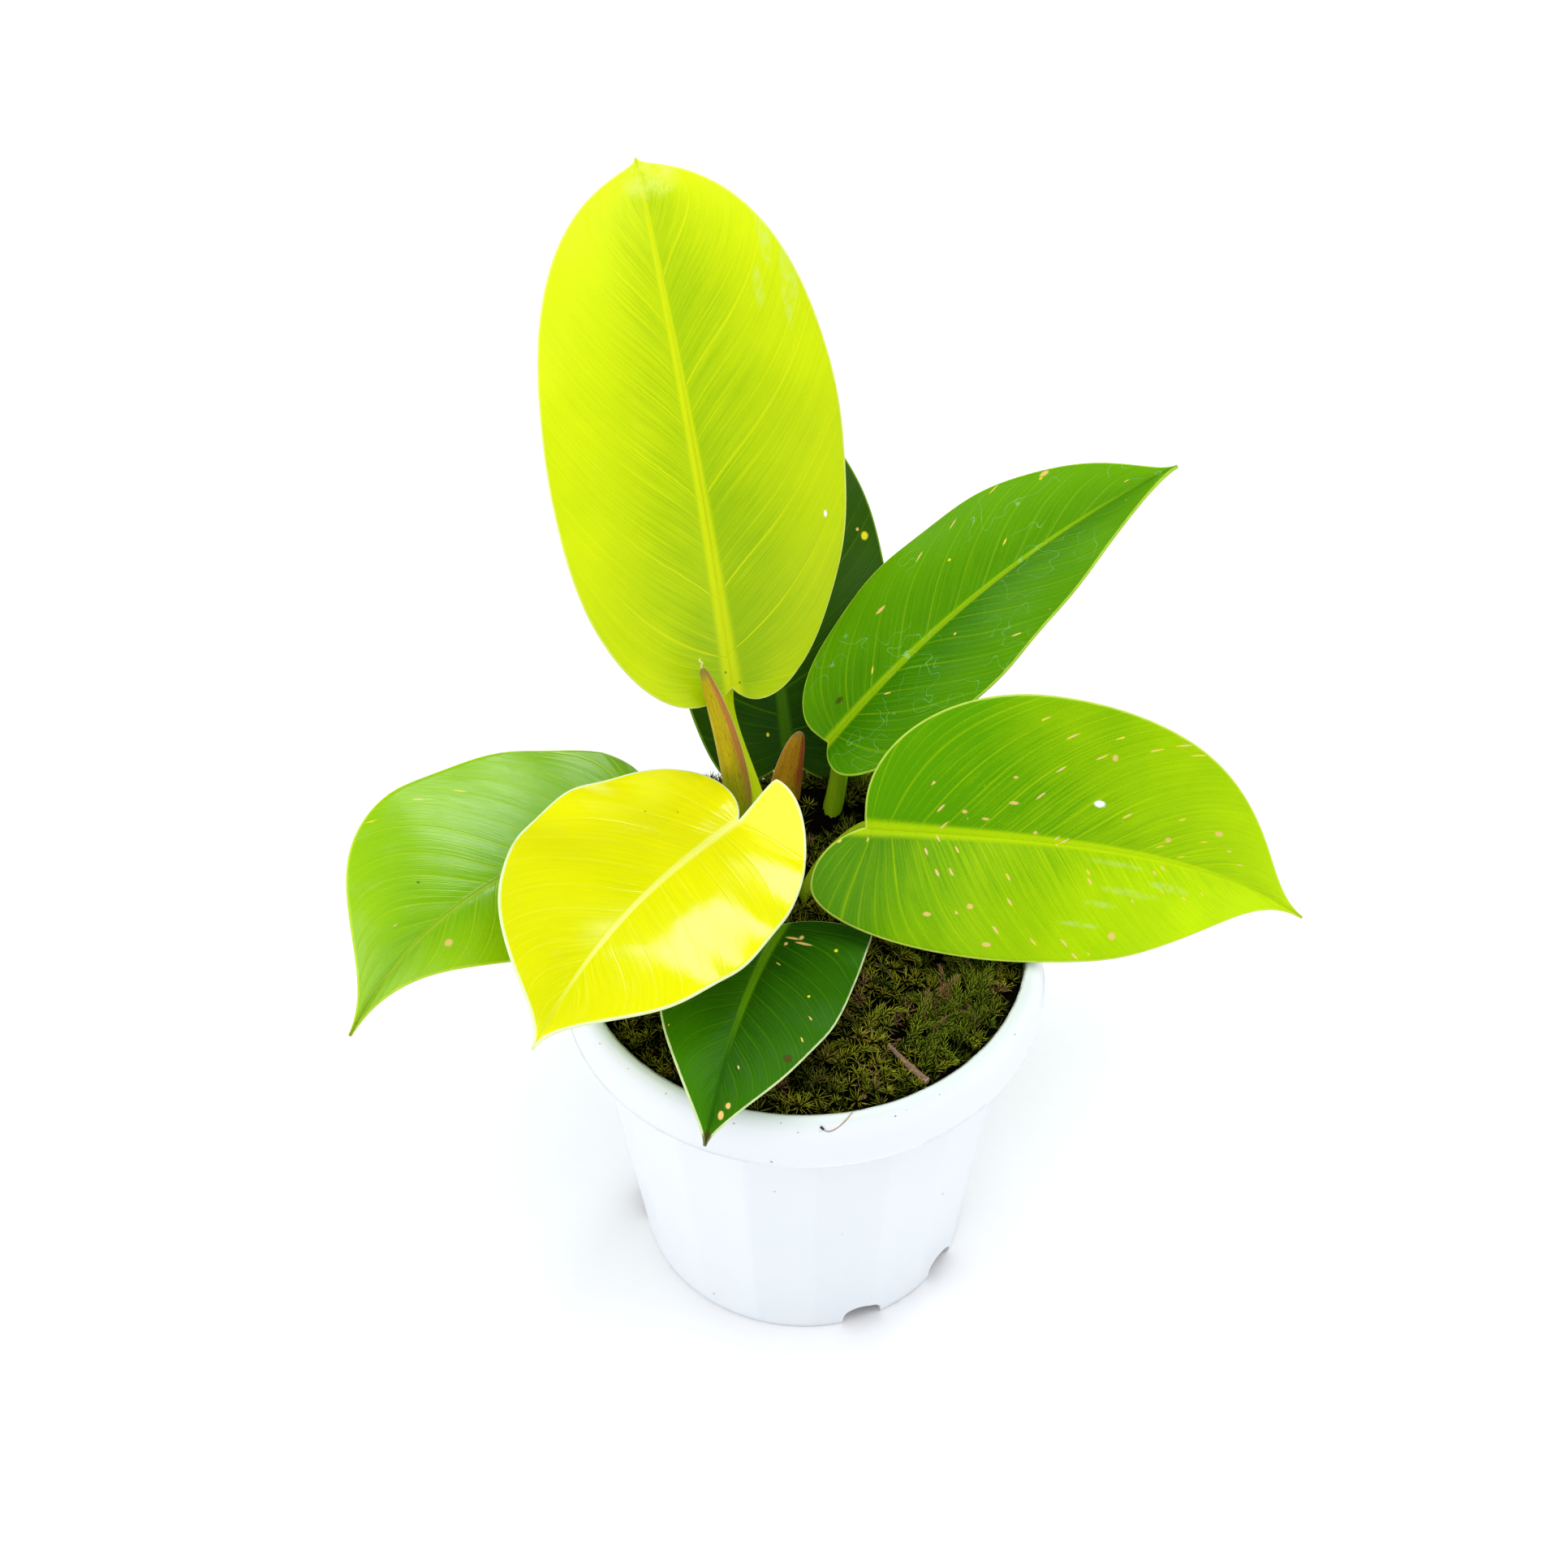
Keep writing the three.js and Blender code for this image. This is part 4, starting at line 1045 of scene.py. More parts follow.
class Shading:
    """One material's nodes."""

    def __init__(self, name):
        self.material = bpy.data.materials.new(name)
        self.material.use_nodes = True
        self.tree = self.material.node_tree
        self.tree.nodes.clear()

    def node(self, kind, settings=None, values=None, out=0):
        """Adds a node, sets its own settings and then its sockets, and returns one of its outputs."""
        made = self.tree.nodes.new(kind)
        for key, value in (settings or {}).items():
            setattr(made, key, value)
        for key, value in (values or {}).items():
            socket = made.inputs[key]
            if isinstance(value, Wire):
                self.tree.links.new(value.socket, socket)
            elif socket.type == "RGBA":
                socket.default_value = (*value, 1)
            else:
                socket.default_value = value
        return Wire(self, made.outputs[out])

    def math(self, operation, *values):
        return self.node("ShaderNodeMath", {"operation": operation}, dict(enumerate(values)))

    def vector_math(self, operation, *values, out=0):
        return self.node("ShaderNodeVectorMath", {"operation": operation}, dict(enumerate(values)), out)

    def marks(self, *names):
        """The numbers of these names that the mesh holds for each point."""
        return [self.node("ShaderNodeAttribute", {"attribute_name": name}, out="Fac") for name in names]

    def place(self):
        return self.node("ShaderNodeTexCoord", out="Object")

    def fade(self, value, low, high):
        """0 below low, 1 above high, smooth between."""
        values = {"Value": value, "From Min": low, "From Max": high}
        return self.node("ShaderNodeMapRange", {"interpolation_type": "SMOOTHSTEP"}, values)

    def fall(self, value, low, high):
        """1 below low, 0 above high, smooth between."""
        return 1 - self.fade(value, low, high)

    def line(self, value, spacing, half_width):
        """1 on lines wherever the value passes a whole number, falling to 0 at half_width away;
        spacing is what one whole number stands for, in millimetres."""
        offset = self.math("FRACT", value + 0.5) - 0.5
        return self.fall(abs(offset) * spacing, half_width * 0.3, half_width)

    def noise(self, where, scale, detail=2.0, roughness=0.5):
        values = {"Vector": where, "Scale": scale, "Detail": detail, "Roughness": roughness}
        return self.node("ShaderNodeTexNoise", {}, values)

    def cells(self, where, scale, out="Distance", dimensions="3D"):
        values = {"Vector": where, "Scale": scale}
        return self.node("ShaderNodeTexVoronoi", {"voronoi_dimensions": dimensions}, values, out=out)

    def vector(self, x, y, z=0.0):
        return self.node("ShaderNodeCombineXYZ", {}, {"X": x, "Y": y, "Z": z})

    def red_of(self, tint):
        return self.node("ShaderNodeSeparateColor", {}, {"Color": tint}, out="Red")

    def mix(self, share, first, second):
        """A colour between two colours."""
        return self.node("ShaderNodeMix", {"data_type": "RGBA"}, {0: share, 6: first, 7: second}, out=2)

    def surface(self, tint, roughness, sheen, relief=None, depth=1.0, ior=1.5):
        """A plain glossy surface. sheen is its specular level, and relief a height in millimetres
        that its normal follows as far as depth says."""
        values = {"Base Color": tint, "Roughness": roughness, "IOR": ior, "Specular IOR Level": sheen}
        if relief is not None:
            heights = {"Strength": depth, "Distance": MM, "Height": relief}
            values["Normal"] = self.node("ShaderNodeBump", {}, heights)
        return self.node("ShaderNodeBsdfPrincipled", {}, values)

    def finish(self, surface):
        """Makes the surface the material's output."""
        output = self.tree.nodes.new("ShaderNodeOutputMaterial")
        self.tree.links.new(surface.socket, output.inputs["Surface"])
        return self.material


def spot_mask(shading, flat, spots, uneven):
    """1 inside any of the spots, given as along, across, half length and half width in
    millimetres; uneven is a noise that frays their rims."""
    nearest = None
    for along, across, long_half, wide_half in spots:
        offset = shading.vector_math("SUBTRACT", flat, (along, across, 0))
        scaled = shading.vector_math("MULTIPLY", offset, (1 / long_half, 1 / wide_half, 0))
        distance = shading.vector_math("LENGTH", scaled, out="Value")
        nearest = distance if nearest is None else shading.math("MINIMUM", nearest, distance)
    return shading.fall(nearest + uneven * 0.8, 0.75, 1.4)


# Marks on single blades: along and across the midrib, half length and half width.
MARKS = {
    "tall": {
        "dark": [(5.9, 1.5, 0.4, 0.35), (1.1, -2.5, 0.35, 0.3)],
        "white": [(49, -35.2, 1.0, 0.45)],
        "pale": [(153, -3, 4.5, 7)],
        "scratch_and_sheen": [(121, -36, 9, 1.8), (131, -31, 7, 1.5), (112, -34, 6, 1.0), (118, -27, 5, 1.2)],
    },
    "back": {
        "tan": [(67.7, -30.8, 0.5, 0.4)],
        "yellow": [(65.4, -32.9, 1.2, 1.0), (6.3, 6.7, 0.6, 0.5)],
    },
    "rightUpper": {
        "dark": [(12, 7, 1.3, 0.8)],
        "tan": [(102.1, 23, 1.3, 0.8), (40, 20, 1.6, 0.5), (52, -8, 0.5, 0.4)],
        "yellow": [(65, 17, 0.45, 0.45), (100.5, 22, 0.5, 0.4)],
    },
    "right": {
        "tan": [
            (29.2, 7, 0.7, 0.5), (35.7, 5.2, 1.0, 0.4), (43.5, 11, 1.3, 0.5), (51.4, 2.3, 0.6, 0.5),
            (19.4, -25.3, 1.1, 0.6), (32.4, -22, 0.9, 0.7), (38, -33, 1.3, 0.6), (42.9, 19, 0.6, 0.4),
            (79.5, -25.9, 1.2, 1.0), (70, 28.9, 0.7, 0.9), (106.9, 13, 1.2, 0.7), (92.5, 6.8, 0.9, 0.7),
        ],
        "white": [(68.7, 14, 1.5, 0.95)],
        # The pale streaks on this blade are painted sheen.
        "scratch_and_sheen": [
            (78, -4, 8, 0.7), (84, -12, 9, 1.0), (74, -17, 5, 0.8), (97, -8, 6, 1.1), (68, -24, 6, 0.7),
        ],
    },
    "yellow": {"dark": [(22.5, -20.5, 0.35, 0.3), (14, -14, 0.3, 0.25)]},
    "left": {
        "dark": [(88.3, -12.4, 0.45, 0.4)],
        "tan": [(96.5, 6.6, 1.3, 0.9)],
        "yellow": [(20, -16, 1.6, 1.0)],
    },
    "front": {
        "dark": [(70.7, 16.8, 1.5, 1.2), (106, 0, 2.4, 1.2)],
        "tan": [
            (10.5, 9, 0.7, 2.3), (8.2, 5, 0.7, 1.8), (7, 7.5, 1.2, 0.6), (97.4, 2.6, 1.4, 0.7),
            (93.6, 4, 1.0, 0.6), (12.5, 4, 0.9, 0.5),
        ],
        "yellow": [(10.6, 19, 0.8, 0.5), (40, 17, 0.5, 0.4)],
    },
}
# Each kind of mark: its tint, its strength, and whether it is broken up into cloudy patches.
MARK_TINTS = {
    "pale": (display(236, 247, 130), 0.6, True),
    # Pale streaks: scratches on the tall blade, painted sheen on the right blade.
    "scratch_and_sheen": (display(206, 232, 150), 0.3, True),
    "tan": (display(240, 196, 120), 0.9, False),
    "yellow": (display(240, 226, 40), 0.9, False),
    "dark": (display(74, 62, 22), 0.8, False),
    "white": (display(255, 255, 255), 1.0, False),
}


def blade_tissue(shading, look, place, grains):
    """The upper face between the veins: a slow mottle and fine streaks between the deep and the
    light tint, lighter toward the margin, painted light and shade toward the tip and on one half,
    painted light at the very tip, and painted shade in one lobe."""
    along, across, reach, share, flat = place
    streaks, speckle, side_on = grains
    mottle = shading.noise(flat, 0.04, 3)
    # Painted light and shade: the share rises or falls toward the tip and on one half, and rises at the very
    # tip.
    pale = (shading.fade(reach, 0.05, 0.95) - 0.5) * look.edge_light + (share - 0.5) * look.tip_painted_light
    pale = pale + (side_on - 0.5) * look.side_painted_light + shading.fade(share, 0.92, 1.0) * 0.6
    pale = pale + 0.5 + (mottle - 0.5) * 0.45
    pale = pale + (streaks - 0.5) * (1.4 - reach) * look.streak_show + (speckle - 0.5) * 0.3
    tissue = shading.mix(pale, look.deep, look.light)
    # Painted shade: one lobe is darkened toward the deep tint.
    lobe = shading.fall(along + abs(across) * 0.25, 2, 26) * (1 - side_on) * look.lobe_painted_shade
    return shading.mix(lobe, tissue, times(0.6, look.deep))


def blade_flecks(shading, skin, look, streak, reach, flat):
    """Tan scars strewn in patches: short dashes that run with the side veins, two tints."""
    place = shading.vector(streak * 0.22, reach * 3.2)
    near = shading.cells(place, 1.0, dimensions="2D")
    chance = shading.red_of(shading.cells(place, 1.0, out="Color", dimensions="2D"))
    patch = shading.fade(shading.noise(flat, 0.06, 1), 0.4, 0.6)
    rough = shading.noise(flat, 2.4, 2)
    fleck = shading.fall(near + (rough - 0.5) * 0.12, 0.07, 0.11) * (chance < patch * look.flecks)
    kind = shading.fade(shading.noise(flat, 0.3, 0), 0.48, 0.52)
    return shading.mix(fleck * 0.95, skin, shading.mix(kind, display(240, 212, 80), display(246, 200, 150)))


def blade_trails(shading, skin, look, upper, flat):
    """Pale squiggles: thin loops where a slow noise passes its middle value, in a few patches."""
    field = shading.noise(flat, 0.11, 1)
    loop = shading.fall(abs(field - 0.5), 0.0015, 0.005)
    part = shading.fade(shading.noise(flat, 0.04, 0), 0.5, 0.56)
    shown = loop * part * shading.fade(upper, 0.9, 0.95) * look.trails
    return shading.mix(shown, skin, display(150, 215, 150))


def blade_material(name, look):
    """Leaf skin: streaks that run with the side veins, paler veins and midrib band, a thin pale
    margin, small scars, painted light and shade on the tissue, painted sheen in pale streaks on the
    right blade, and a satin surface whose sheen breaks over the veins."""
    shading = Shading(f"{name}_blade_skin")
    along, across, reach, margin = shading.marks("along", "across", "reach", "margin")
    vein, streak, rib, upper = shading.marks("vein", "streak", "rib", "upper")
    share = along * (1 / LEAVES[name]["length"])
    spacing = look.vein_spacing / MM
    on_top = shading.fade(upper, 0.2, 0.3)
    flat = shading.vector(along, across)
    side_on = shading.fade(across, -0.5, 0.5)
    streaks = shading.noise(shading.vector(streak * 1.3 + side_on * 300, reach * 1.8), 1.0, 4, 0.6)
    speckle = shading.noise(flat, 2.2, 2, 0.6)
    uneven = speckle - 0.5

    main = shading.line(vein, spacing, 0.6) * (1 - reach * 0.55)
    lesser = shading.line(vein * 4, spacing / 4, 0.32) * shading.fade(streaks, 0.3, 0.6)
    thin = shading.line(vein * 16, spacing / 16, 0.30) * shading.fade(speckle, 0.3, 0.7)
    off_rib = shading.fade(rib, 0.9, 1.25)
    veins = (main * 0.9 + lesser * 0.5 + thin * 0.35) * off_rib

    tissue = blade_tissue(shading, look, (along, across, reach, share, flat), (streaks, speckle, side_on))
    tissue = shading.mix(veins * look.vein_show, tissue, look.rib)
    rib_on = shading.fall(rib + uneven * 0.7 + (streaks - 0.5) * 0.3, 0.45, 1.3)
    rib_on = rib_on * shading.fall(share, look.rib_end - 0.35, look.rib_end)
    tissue = shading.mix(rib_on * look.rib_show, tissue, look.rib)
    under = shading.mix(veins * 0.5 + shading.fall(rib, 0.7, 1.4) * 0.7, look.under, look.rib)
    skin = shading.mix(on_top, under, tissue)

    width = look.margin_width / MM
    line_on = shading.fall(margin + uneven * 0.25, width * 0.4, width)
    edge = shading.noise(flat, 0.25, 2) * 0.6 + 0.5
    skin = shading.mix(line_on * edge * look.margin_show, skin, look.margin)
    # Marks on single blades; the pale streaks on the right blade are painted sheen.
    for kind, spots in MARKS[name].items():
        tint, strength, cloudy = MARK_TINTS[kind]
        mask = spot_mask(shading, flat, spots, uneven) * on_top * strength
        if cloudy:
            mask = mask * shading.fade(shading.noise(flat, 0.3, 4, 0.65), 0.3, 0.7)
        skin = shading.mix(mask, skin, tint)
    if look.flecks > 0:
        skin = blade_flecks(shading, skin, look, streak, reach, flat)
    if look.trails > 0:
        skin = blade_trails(shading, skin, look, upper, flat)

    dust = shading.fade(shading.noise(flat, 0.11, 3, 0.65), 0.5, 0.75)
    relief = streaks * 0.16 - main * 0.14 - lesser * 0.05 + speckle * 0.02
    roughness = look.gloss + dust * 0.12 + (streaks - 0.5) * 0.14
    body = shading.surface(skin, roughness, look.sheen, relief, look.relief, LEAF_IOR)
    glow = shading.node("ShaderNodeBsdfTranslucent", {}, {"Color": look.glow})
    return shading.finish(shading.node("ShaderNodeMixShader", {}, {0: look.see_through, 1: body, 2: glow}))


def stalk_material(name, tints, young):
    """A leaf's stalk: green, yellower on a young leaf, with fine lengthwise lines, darker low
    down, and faint freckles."""
    shading = Shading(f"{name}_stalk_skin")
    length, wide, deep = shading.marks("length", "wide", "deep")
    place = shading.place()
    lines = shading.noise(shading.vector(wide * 5, deep * 5, length * 1.2), 2.2, 3)
    freckle = shading.noise(place, 900, 2)
    mottle = shading.noise(place, 70, 3)
    grown = tuple(a + (b - a) * young for a, b in zip(tints.stalk, tints.stalk_young))
    tint = shading.mix(shading.fade(length + (mottle - 0.5) * 0.3, 0.0, 0.3), tints.stalk_foot, grown)
    tint = shading.mix((lines - 0.35) * 0.9, tint, times(1.35, grown))
    tint = shading.mix(shading.fade(freckle, 0.62, 0.75) * 0.25, tint, display(60, 78, 6))
    relief = lines * 0.16 + freckle * 0.02
    return shading.finish(shading.surface(tint, 0.34 + mottle * 0.14, 0.4, relief, ior=LEAF_IOR))


def sheath_material(name, ground, flush, edge_tint):
    """Sheaths: lengthwise fibres, green low down, a flush of pink-brown on one side, freckles,
    pale edges and a dry tip."""
    shading = Shading(name)
    length, wide, deep = shading.marks("length", "wide", "deep")
    place = shading.place()
    fibre = shading.noise(shading.vector(wide * 7, deep * 7, length * 2.2), 2.6, 4, 0.6)
    freckle = shading.noise(shading.vector(wide * 9, deep * 9, length * 24), 1.5, 3, 0.65)
    mottle = shading.noise(place, 120, 3)
    side_on = shading.fade(wide + (fibre - 0.5) * 0.7, 0.32, 0.6)
    tint = shading.mix(mottle * 0.2 + (fibre - 0.45) * 2.0, ground, times(0.5, ground))
    low = shading.fall(length + (mottle - 0.5) * 0.2, 0.25, 0.65)
    tint = shading.mix(low * 0.75, tint, display(158, 190, 14))
    tint = shading.mix(side_on * (1 - low * 0.7) * 0.85, tint, flush)
    tint = shading.mix(shading.fade(freckle, 0.53, 0.64) * 0.5, tint, times(0.5, flush))
    rim = shading.fade(abs(wide), 0.965, 0.995)
    tint = shading.mix(rim * 0.85, tint, edge_tint)
    dry = shading.fade(length, 0.94, 0.99)
    tint = shading.mix(dry * 0.8, tint, display(150, 128, 70))
    relief = fibre * 0.28 + freckle * 0.06
    return shading.finish(shading.surface(tint, 0.44 + fibre * 0.14, 0.35, relief, ior=LEAF_IOR))


def moss_material(moss):
    """Moss: near black at the foot of each needle as painted shade and green at its tip, each tuft
    its own green and darker in the hollows as painted shade, some tufts brown and dead."""
    shading = Shading("moss_needles")
    tip, own, brown, fresh = shading.marks("tip", "tint", "brown", "fresh")
    # Painted shade: the foot of each needle is near black.
    low = shading.mix(own, display(2, 2, 0), display(7, 8, 1))
    high = shading.mix(own, moss.dark, moss.light)
    high = shading.mix(fresh * 0.75, high, shading.mix(own, display(38, 70, 14), moss.fresh))
    tint = shading.mix(tip ** 2.4, low, high)
    dead = shading.mix(tip, display(24, 14, 8), display(170, 124, 90))
    tint = shading.mix(brown * 0.85, tint, dead)
    grain = shading.noise(shading.place(), 2500, 2)
    tint = shading.mix((grain - 0.4) * tip * 0.5, tint, display(124, 114, 22))
    return shading.finish(shading.surface(tint, 0.6 + grain * 0.25, 0.06, ior=1.4))


def felt_and_shade_material():
    """The felt of old moss and bark dust below the tufts, its near-black colour partly painted shade in the
    gaps between them.
    """
    shading = Shading("moss_felt_and_shade")
    place = shading.place()
    grain = shading.noise(place, 1100, 4, 0.65)
    patch = shading.noise(place, 130, 3)
    # Painted shade: the felt is near black.
    tint = shading.mix(shading.fade(patch, 0.42, 0.62), display(9, 6, 3), display(8, 8, 2))
    tint = shading.mix(shading.fade(grain, 0.6, 0.75) * 0.3, tint, display(60, 42, 26))
    relief = grain * 1.1
    return shading.finish(shading.surface(tint, 0.9 - grain * 0.15, 0.03, relief))


def litter_material(name, tints):
    """Dead bits: one tint for each kind of piece, with a fine grain."""
    shading = Shading(name)
    number = shading.marks("number")[0]
    grain = shading.noise(shading.place(), 1600, 3, 0.6)
    tint = shading.mix(grain * 1.1, tints[0], times(1.5, tints[0]))
    for step, value in enumerate(tints[1:], 1):
        tint = shading.mix(shading.fade(number, step - 0.6, step - 0.4), tint, value)
    tint = shading.mix((grain - 0.4) * 0.9, tint, times(0.55, tints[0]))
    relief = grain * 0.15
    return shading.finish(shading.surface(tint, 0.7 + grain * 0.2, 0.2, relief))


def twig_material():
    """Grey-brown bark, cracked lengthwise, with a paler broken end."""
    shading = Shading("twig_bark")
    length, wide, deep = shading.marks("length", "wide", "deep")
    crack = shading.noise(shading.vector(wide * 3, deep * 3, length * 5), 2.4, 4, 0.6)
    tint = shading.mix(shading.fade(crack, 0.38, 0.66), display(96, 70, 58), display(186, 150, 130))
    tint = shading.mix(shading.fade(length, 0.975, 0.99) * 0.7, tint, display(216, 180, 160))
    relief = crack * 0.4
    return shading.finish(shading.surface(tint, 0.75 + crack * 0.15, 0.2, relief))


def pot_material(pot):
    """Thin moulded polypropylene: white with slow cloudiness and fine scuffs, painted shade tinted
    green by the moss inside the lip, and dirty at the rim's lower edge, round the lip, at the foot
    and in scattered specks."""
    shading = Shading("white_polypropylene")
    place = shading.place()
    height = shading.node("ShaderNodeSeparateXYZ", {}, {"Vector": place}, out="Z") * (1 / MM)
    cloud = shading.noise(place, 28, 3)
    fine = shading.noise(place, 420, 4, 0.6)
    tint = shading.mix(cloud, pot.wall, pot.shade)
    level = shading.vector_math("MULTIPLY", place, (1 / MM, 1 / MM, 0))
    radius = shading.vector_math("LENGTH", level, out="Value")
    # Painted shade, tinted green by the moss, inside the lip.
    lip_painted_shade = shading.fall(radius, 68.6, 72.2)
    tint = shading.mix(lip_painted_shade * shading.fade(height, 110, 115), tint, pot.lip)
    speck_cell = shading.cells(place, 95)
    speck_chance = shading.red_of(shading.cells(place, 95, out="Color"))
    speck = shading.fall(speck_cell + (fine - 0.5) * 0.1, 0.035, 0.07) * (speck_chance < 0.22)
    under_rim = shading.fall(abs(height - (RIM_BOTTOM + 0.5)), 0.15, 0.9)
    under_rim = under_rim * shading.fade(shading.noise(place, 90, 4, 0.7), 0.47, 0.66)
    foot = shading.fall(height, 0.2, 1.6) * shading.fade(shading.noise(place, 60, 4, 0.7), 0.5, 0.7)
    lip = shading.fall(abs(radius - 67.6), 0.2, 0.8) * shading.fade(height, 118, 124)
    lip = lip * shading.fade(shading.noise(place, 140, 4, 0.7), 0.36, 0.6)
    dirt = shading.math("MAXIMUM", under_rim * 0.55, foot * 0.6)
    dirt = shading.math("MAXIMUM", dirt, speck * 0.85)
    dirt = shading.math("MAXIMUM", dirt, lip * 0.8)
    tint = shading.mix(dirt * pot.dirt, tint, display(112, 88, 66))
    scuff = shading.noise(shading.vector(cloud * 6, height * 0.02, fine * 0.3), 6.0, 3)
    relief = fine * 0.03 + scuff * 0.05
    return shading.finish(shading.surface(tint, 0.30 + fine * 0.12 + dirt * 0.4, 0.45, relief, ior=1.49))


def soil_material():
    """Potting mix: dark peat with bark chips and a few white grains of perlite."""
    shading = Shading("bark_and_peat")
    place = shading.place()
    chip = shading.red_of(shading.cells(place, 260, out="Color"))
    gap = shading.cells(place, 260)
    grain = shading.noise(place, 900, 4, 0.65)
    tint = shading.mix(chip, display(40, 28, 18), display(96, 66, 42))
    tint = shading.mix(shading.fade(chip, 0.93, 0.95), tint, display(222, 218, 205))
    tint = shading.mix(shading.fade(gap, 0.35, 0.6) * 0.8, tint, display(24, 17, 11))
    relief = grain * 1.2 - gap * 1.5
    return shading.finish(shading.surface(tint, 0.92 - grain * 0.1, 0.15, relief))


def root_material():
    """Rootstock and roots: buff skin with darker patches and smudges of peat."""
    shading = Shading("root_skin")
    place = shading.place()
    patch = shading.noise(place, 160, 4, 0.6)
    grain = shading.noise(place, 1200, 3)
    tint = shading.mix(shading.fade(patch, 0.35, 0.65), display(120, 92, 58), display(178, 150, 104))
    tint = shading.mix(shading.fade(grain, 0.52, 0.7) * 0.6, tint, display(62, 44, 28))
    relief = grain * 0.5
    return shading.finish(shading.surface(tint, 0.7 + grain * 0.2, 0.2, relief))


def floor_material(stage):
    """Pale seamless studio paper with the faintest tooth."""
    shading = Shading("studio_paper")
    grain = shading.noise(shading.place(), 300, 3)
    tint = shading.mix(grain, stage.floor, times(0.985, stage.floor))
    return shading.finish(shading.surface(tint, 0.75 + grain * 0.1, 0.1))


def tint_setting(name, description, default):
    return bpy.props.FloatVectorProperty(
        name=name, description=description, subtype="COLOR", size=3, min=0, max=1, default=default
    )


def length_setting(name, description, millimetres):
    return bpy.props.FloatProperty(
        name=name, description=description, unit="LENGTH", subtype="DISTANCE", min=0, default=millimetres * MM
    )


def share_setting(name, description, default):
    return bpy.props.FloatProperty(
        name=name, description=description, subtype="FACTOR", min=0, max=1, default=default
    )


def slope_setting(name, description, default):
    return bpy.props.FloatProperty(name=name, description=description, min=-2, max=2, default=default)


def count_setting(name, description, least, default):
    return bpy.props.IntProperty(name=name, description=description, min=least, default=default)


def power_setting(name, description, watts):
    return bpy.props.FloatProperty(name=name, description=description, unit="POWER", min=0, default=watts)


def group_setting(group, name, description):
    return bpy.props.PointerProperty(type=group, name=name, description=description)


class BladeLook(bpy.types.PropertyGroup):
    """Colours, veins and sheen of one blade."""

    light: tint_setting("Light", "Paler tissue of the upper face", display(160, 212, 3))
    deep: tint_setting("Deep", "Darker tissue of the upper face", display(110, 180, 2))
    rib: tint_setting("Rib", "Midrib band and veins", display(176, 215, 5))
    margin: tint_setting("Margin", "Thin line round the edge", display(220, 238, 90))
    under: tint_setting("Underside", "Lower face", display(120, 175, 30))
    glow: tint_setting("Glow", "Light that comes through the blade", display(170, 220, 5))
    vein_spacing: length_setting("Vein spacing", "Distance between main side veins", 19.0)
    left_shift: length_setting("Left sweep", "How far the left half's veins sweep forward", 8.0)
    right_shift: length_setting("Right sweep", "How far the right half's veins sweep forward", 8.0)
    rib_width: length_setting("Rib width", "Half width of the midrib band at the stalk", 2.4)
    margin_width: length_setting("Margin width", "Width of the pale line round the edge", 0.5)
    margin_show: share_setting("Margin strength", "How far the edge takes the margin's colour", 0.7)
    vein_show: share_setting("Vein strength", "How far the veins take the rib's colour", 0.3)
    rib_show: share_setting("Rib strength", "How far the midrib band takes the rib's colour", 0.75)
    rib_end: slope_setting("Rib end", "Share of the length where the midrib band has faded", 1.2)
    streak_show: share_setting("Streaks", "Strength of the fine streaks along the veins", 0.8)
    edge_light: slope_setting("Edge light", "How much paler the margin is than the middle", 0.4)
    # The next three settings are painted light and shade: toward the tip, on one half, and in one lobe.
    tip_painted_light: slope_setting("Tip light", "How much paler the tip is than the base", 0.3)
    side_painted_light: slope_setting("Side light", "How much paler the left half is", 0.0)
    lobe_painted_shade: share_setting("Lobe shade", "How much darker the right half's lobe is", 0.0)
    gloss: share_setting("Roughness", "Roughness of the clean upper face", 0.3)
    sheen: share_setting("Sheen", "Specular level of the surface", 0.3)
    see_through: share_setting("Translucency", "Share of the light that passes through", 0.2)
    flecks: share_setting("Flecks", "Share of places that carry a tan fleck", 0.0)
    trails: share_setting("Trails", "Strength of the pale squiggles left by leaf miners", 0.0)
    relief: share_setting("Relief", "Depth of the veins in the surface", 0.6)


class MossLook(bpy.types.PropertyGroup):
    """Size, number and colours of the moss."""

    tuft_count: count_setting("Tufts", "Number of star tufts", 100, 1300)
    shoot_count: count_setting("Shoots", "Number of feathery shoots", 0, 190)
    over_count: count_setting("Lip tufts", "Number of tufts on the lip's back", 1, 380)
    seed: count_setting("Seed", "Start of the random draw", 0, 4)
    needle_length: length_setting("Needle length", "Length of a needle of a star tuft", 4.4)
    needle_width: length_setting("Needle width", "Width of a needle at its foot", 0.56)
    light: tint_setting("Light", "Tips of the palest tufts", display(255, 255, 70))
    dark: tint_setting("Dark", "Tips of the darkest tufts", display(74, 106, 20))
    fresh: tint_setting("Fresh", "Tips of the fresh green shoots", display(170, 216, 50))


class StemLook(bpy.types.PropertyGroup):
    """Colours of the stalks."""

    stalk: tint_setting("Stalk", "Stalks of the green leaves", display(104, 146, 4))
    stalk_young: tint_setting("Young stalk", "Stalks of the youngest leaves", display(218, 240, 8))
    stalk_foot: tint_setting("Stalk foot", "Stalks low in the moss", display(84, 112, 8))


class PotLook(bpy.types.PropertyGroup):
    """Colours and dirt of the pot."""

    wall: tint_setting("Wall", "White of the plastic", (0.775, 0.81, 0.845))
    shade: tint_setting("Cloud", "Slightly duller patches", (0.74, 0.78, 0.82))
    # Painted shade tinted green by the moss, inside the lip.
    lip: tint_setting("Lip", "Greenish tint inside the lip", (0.655, 0.73, 0.70))
    dirt: share_setting("Dirt", "Strength of the dirt", 0.8)


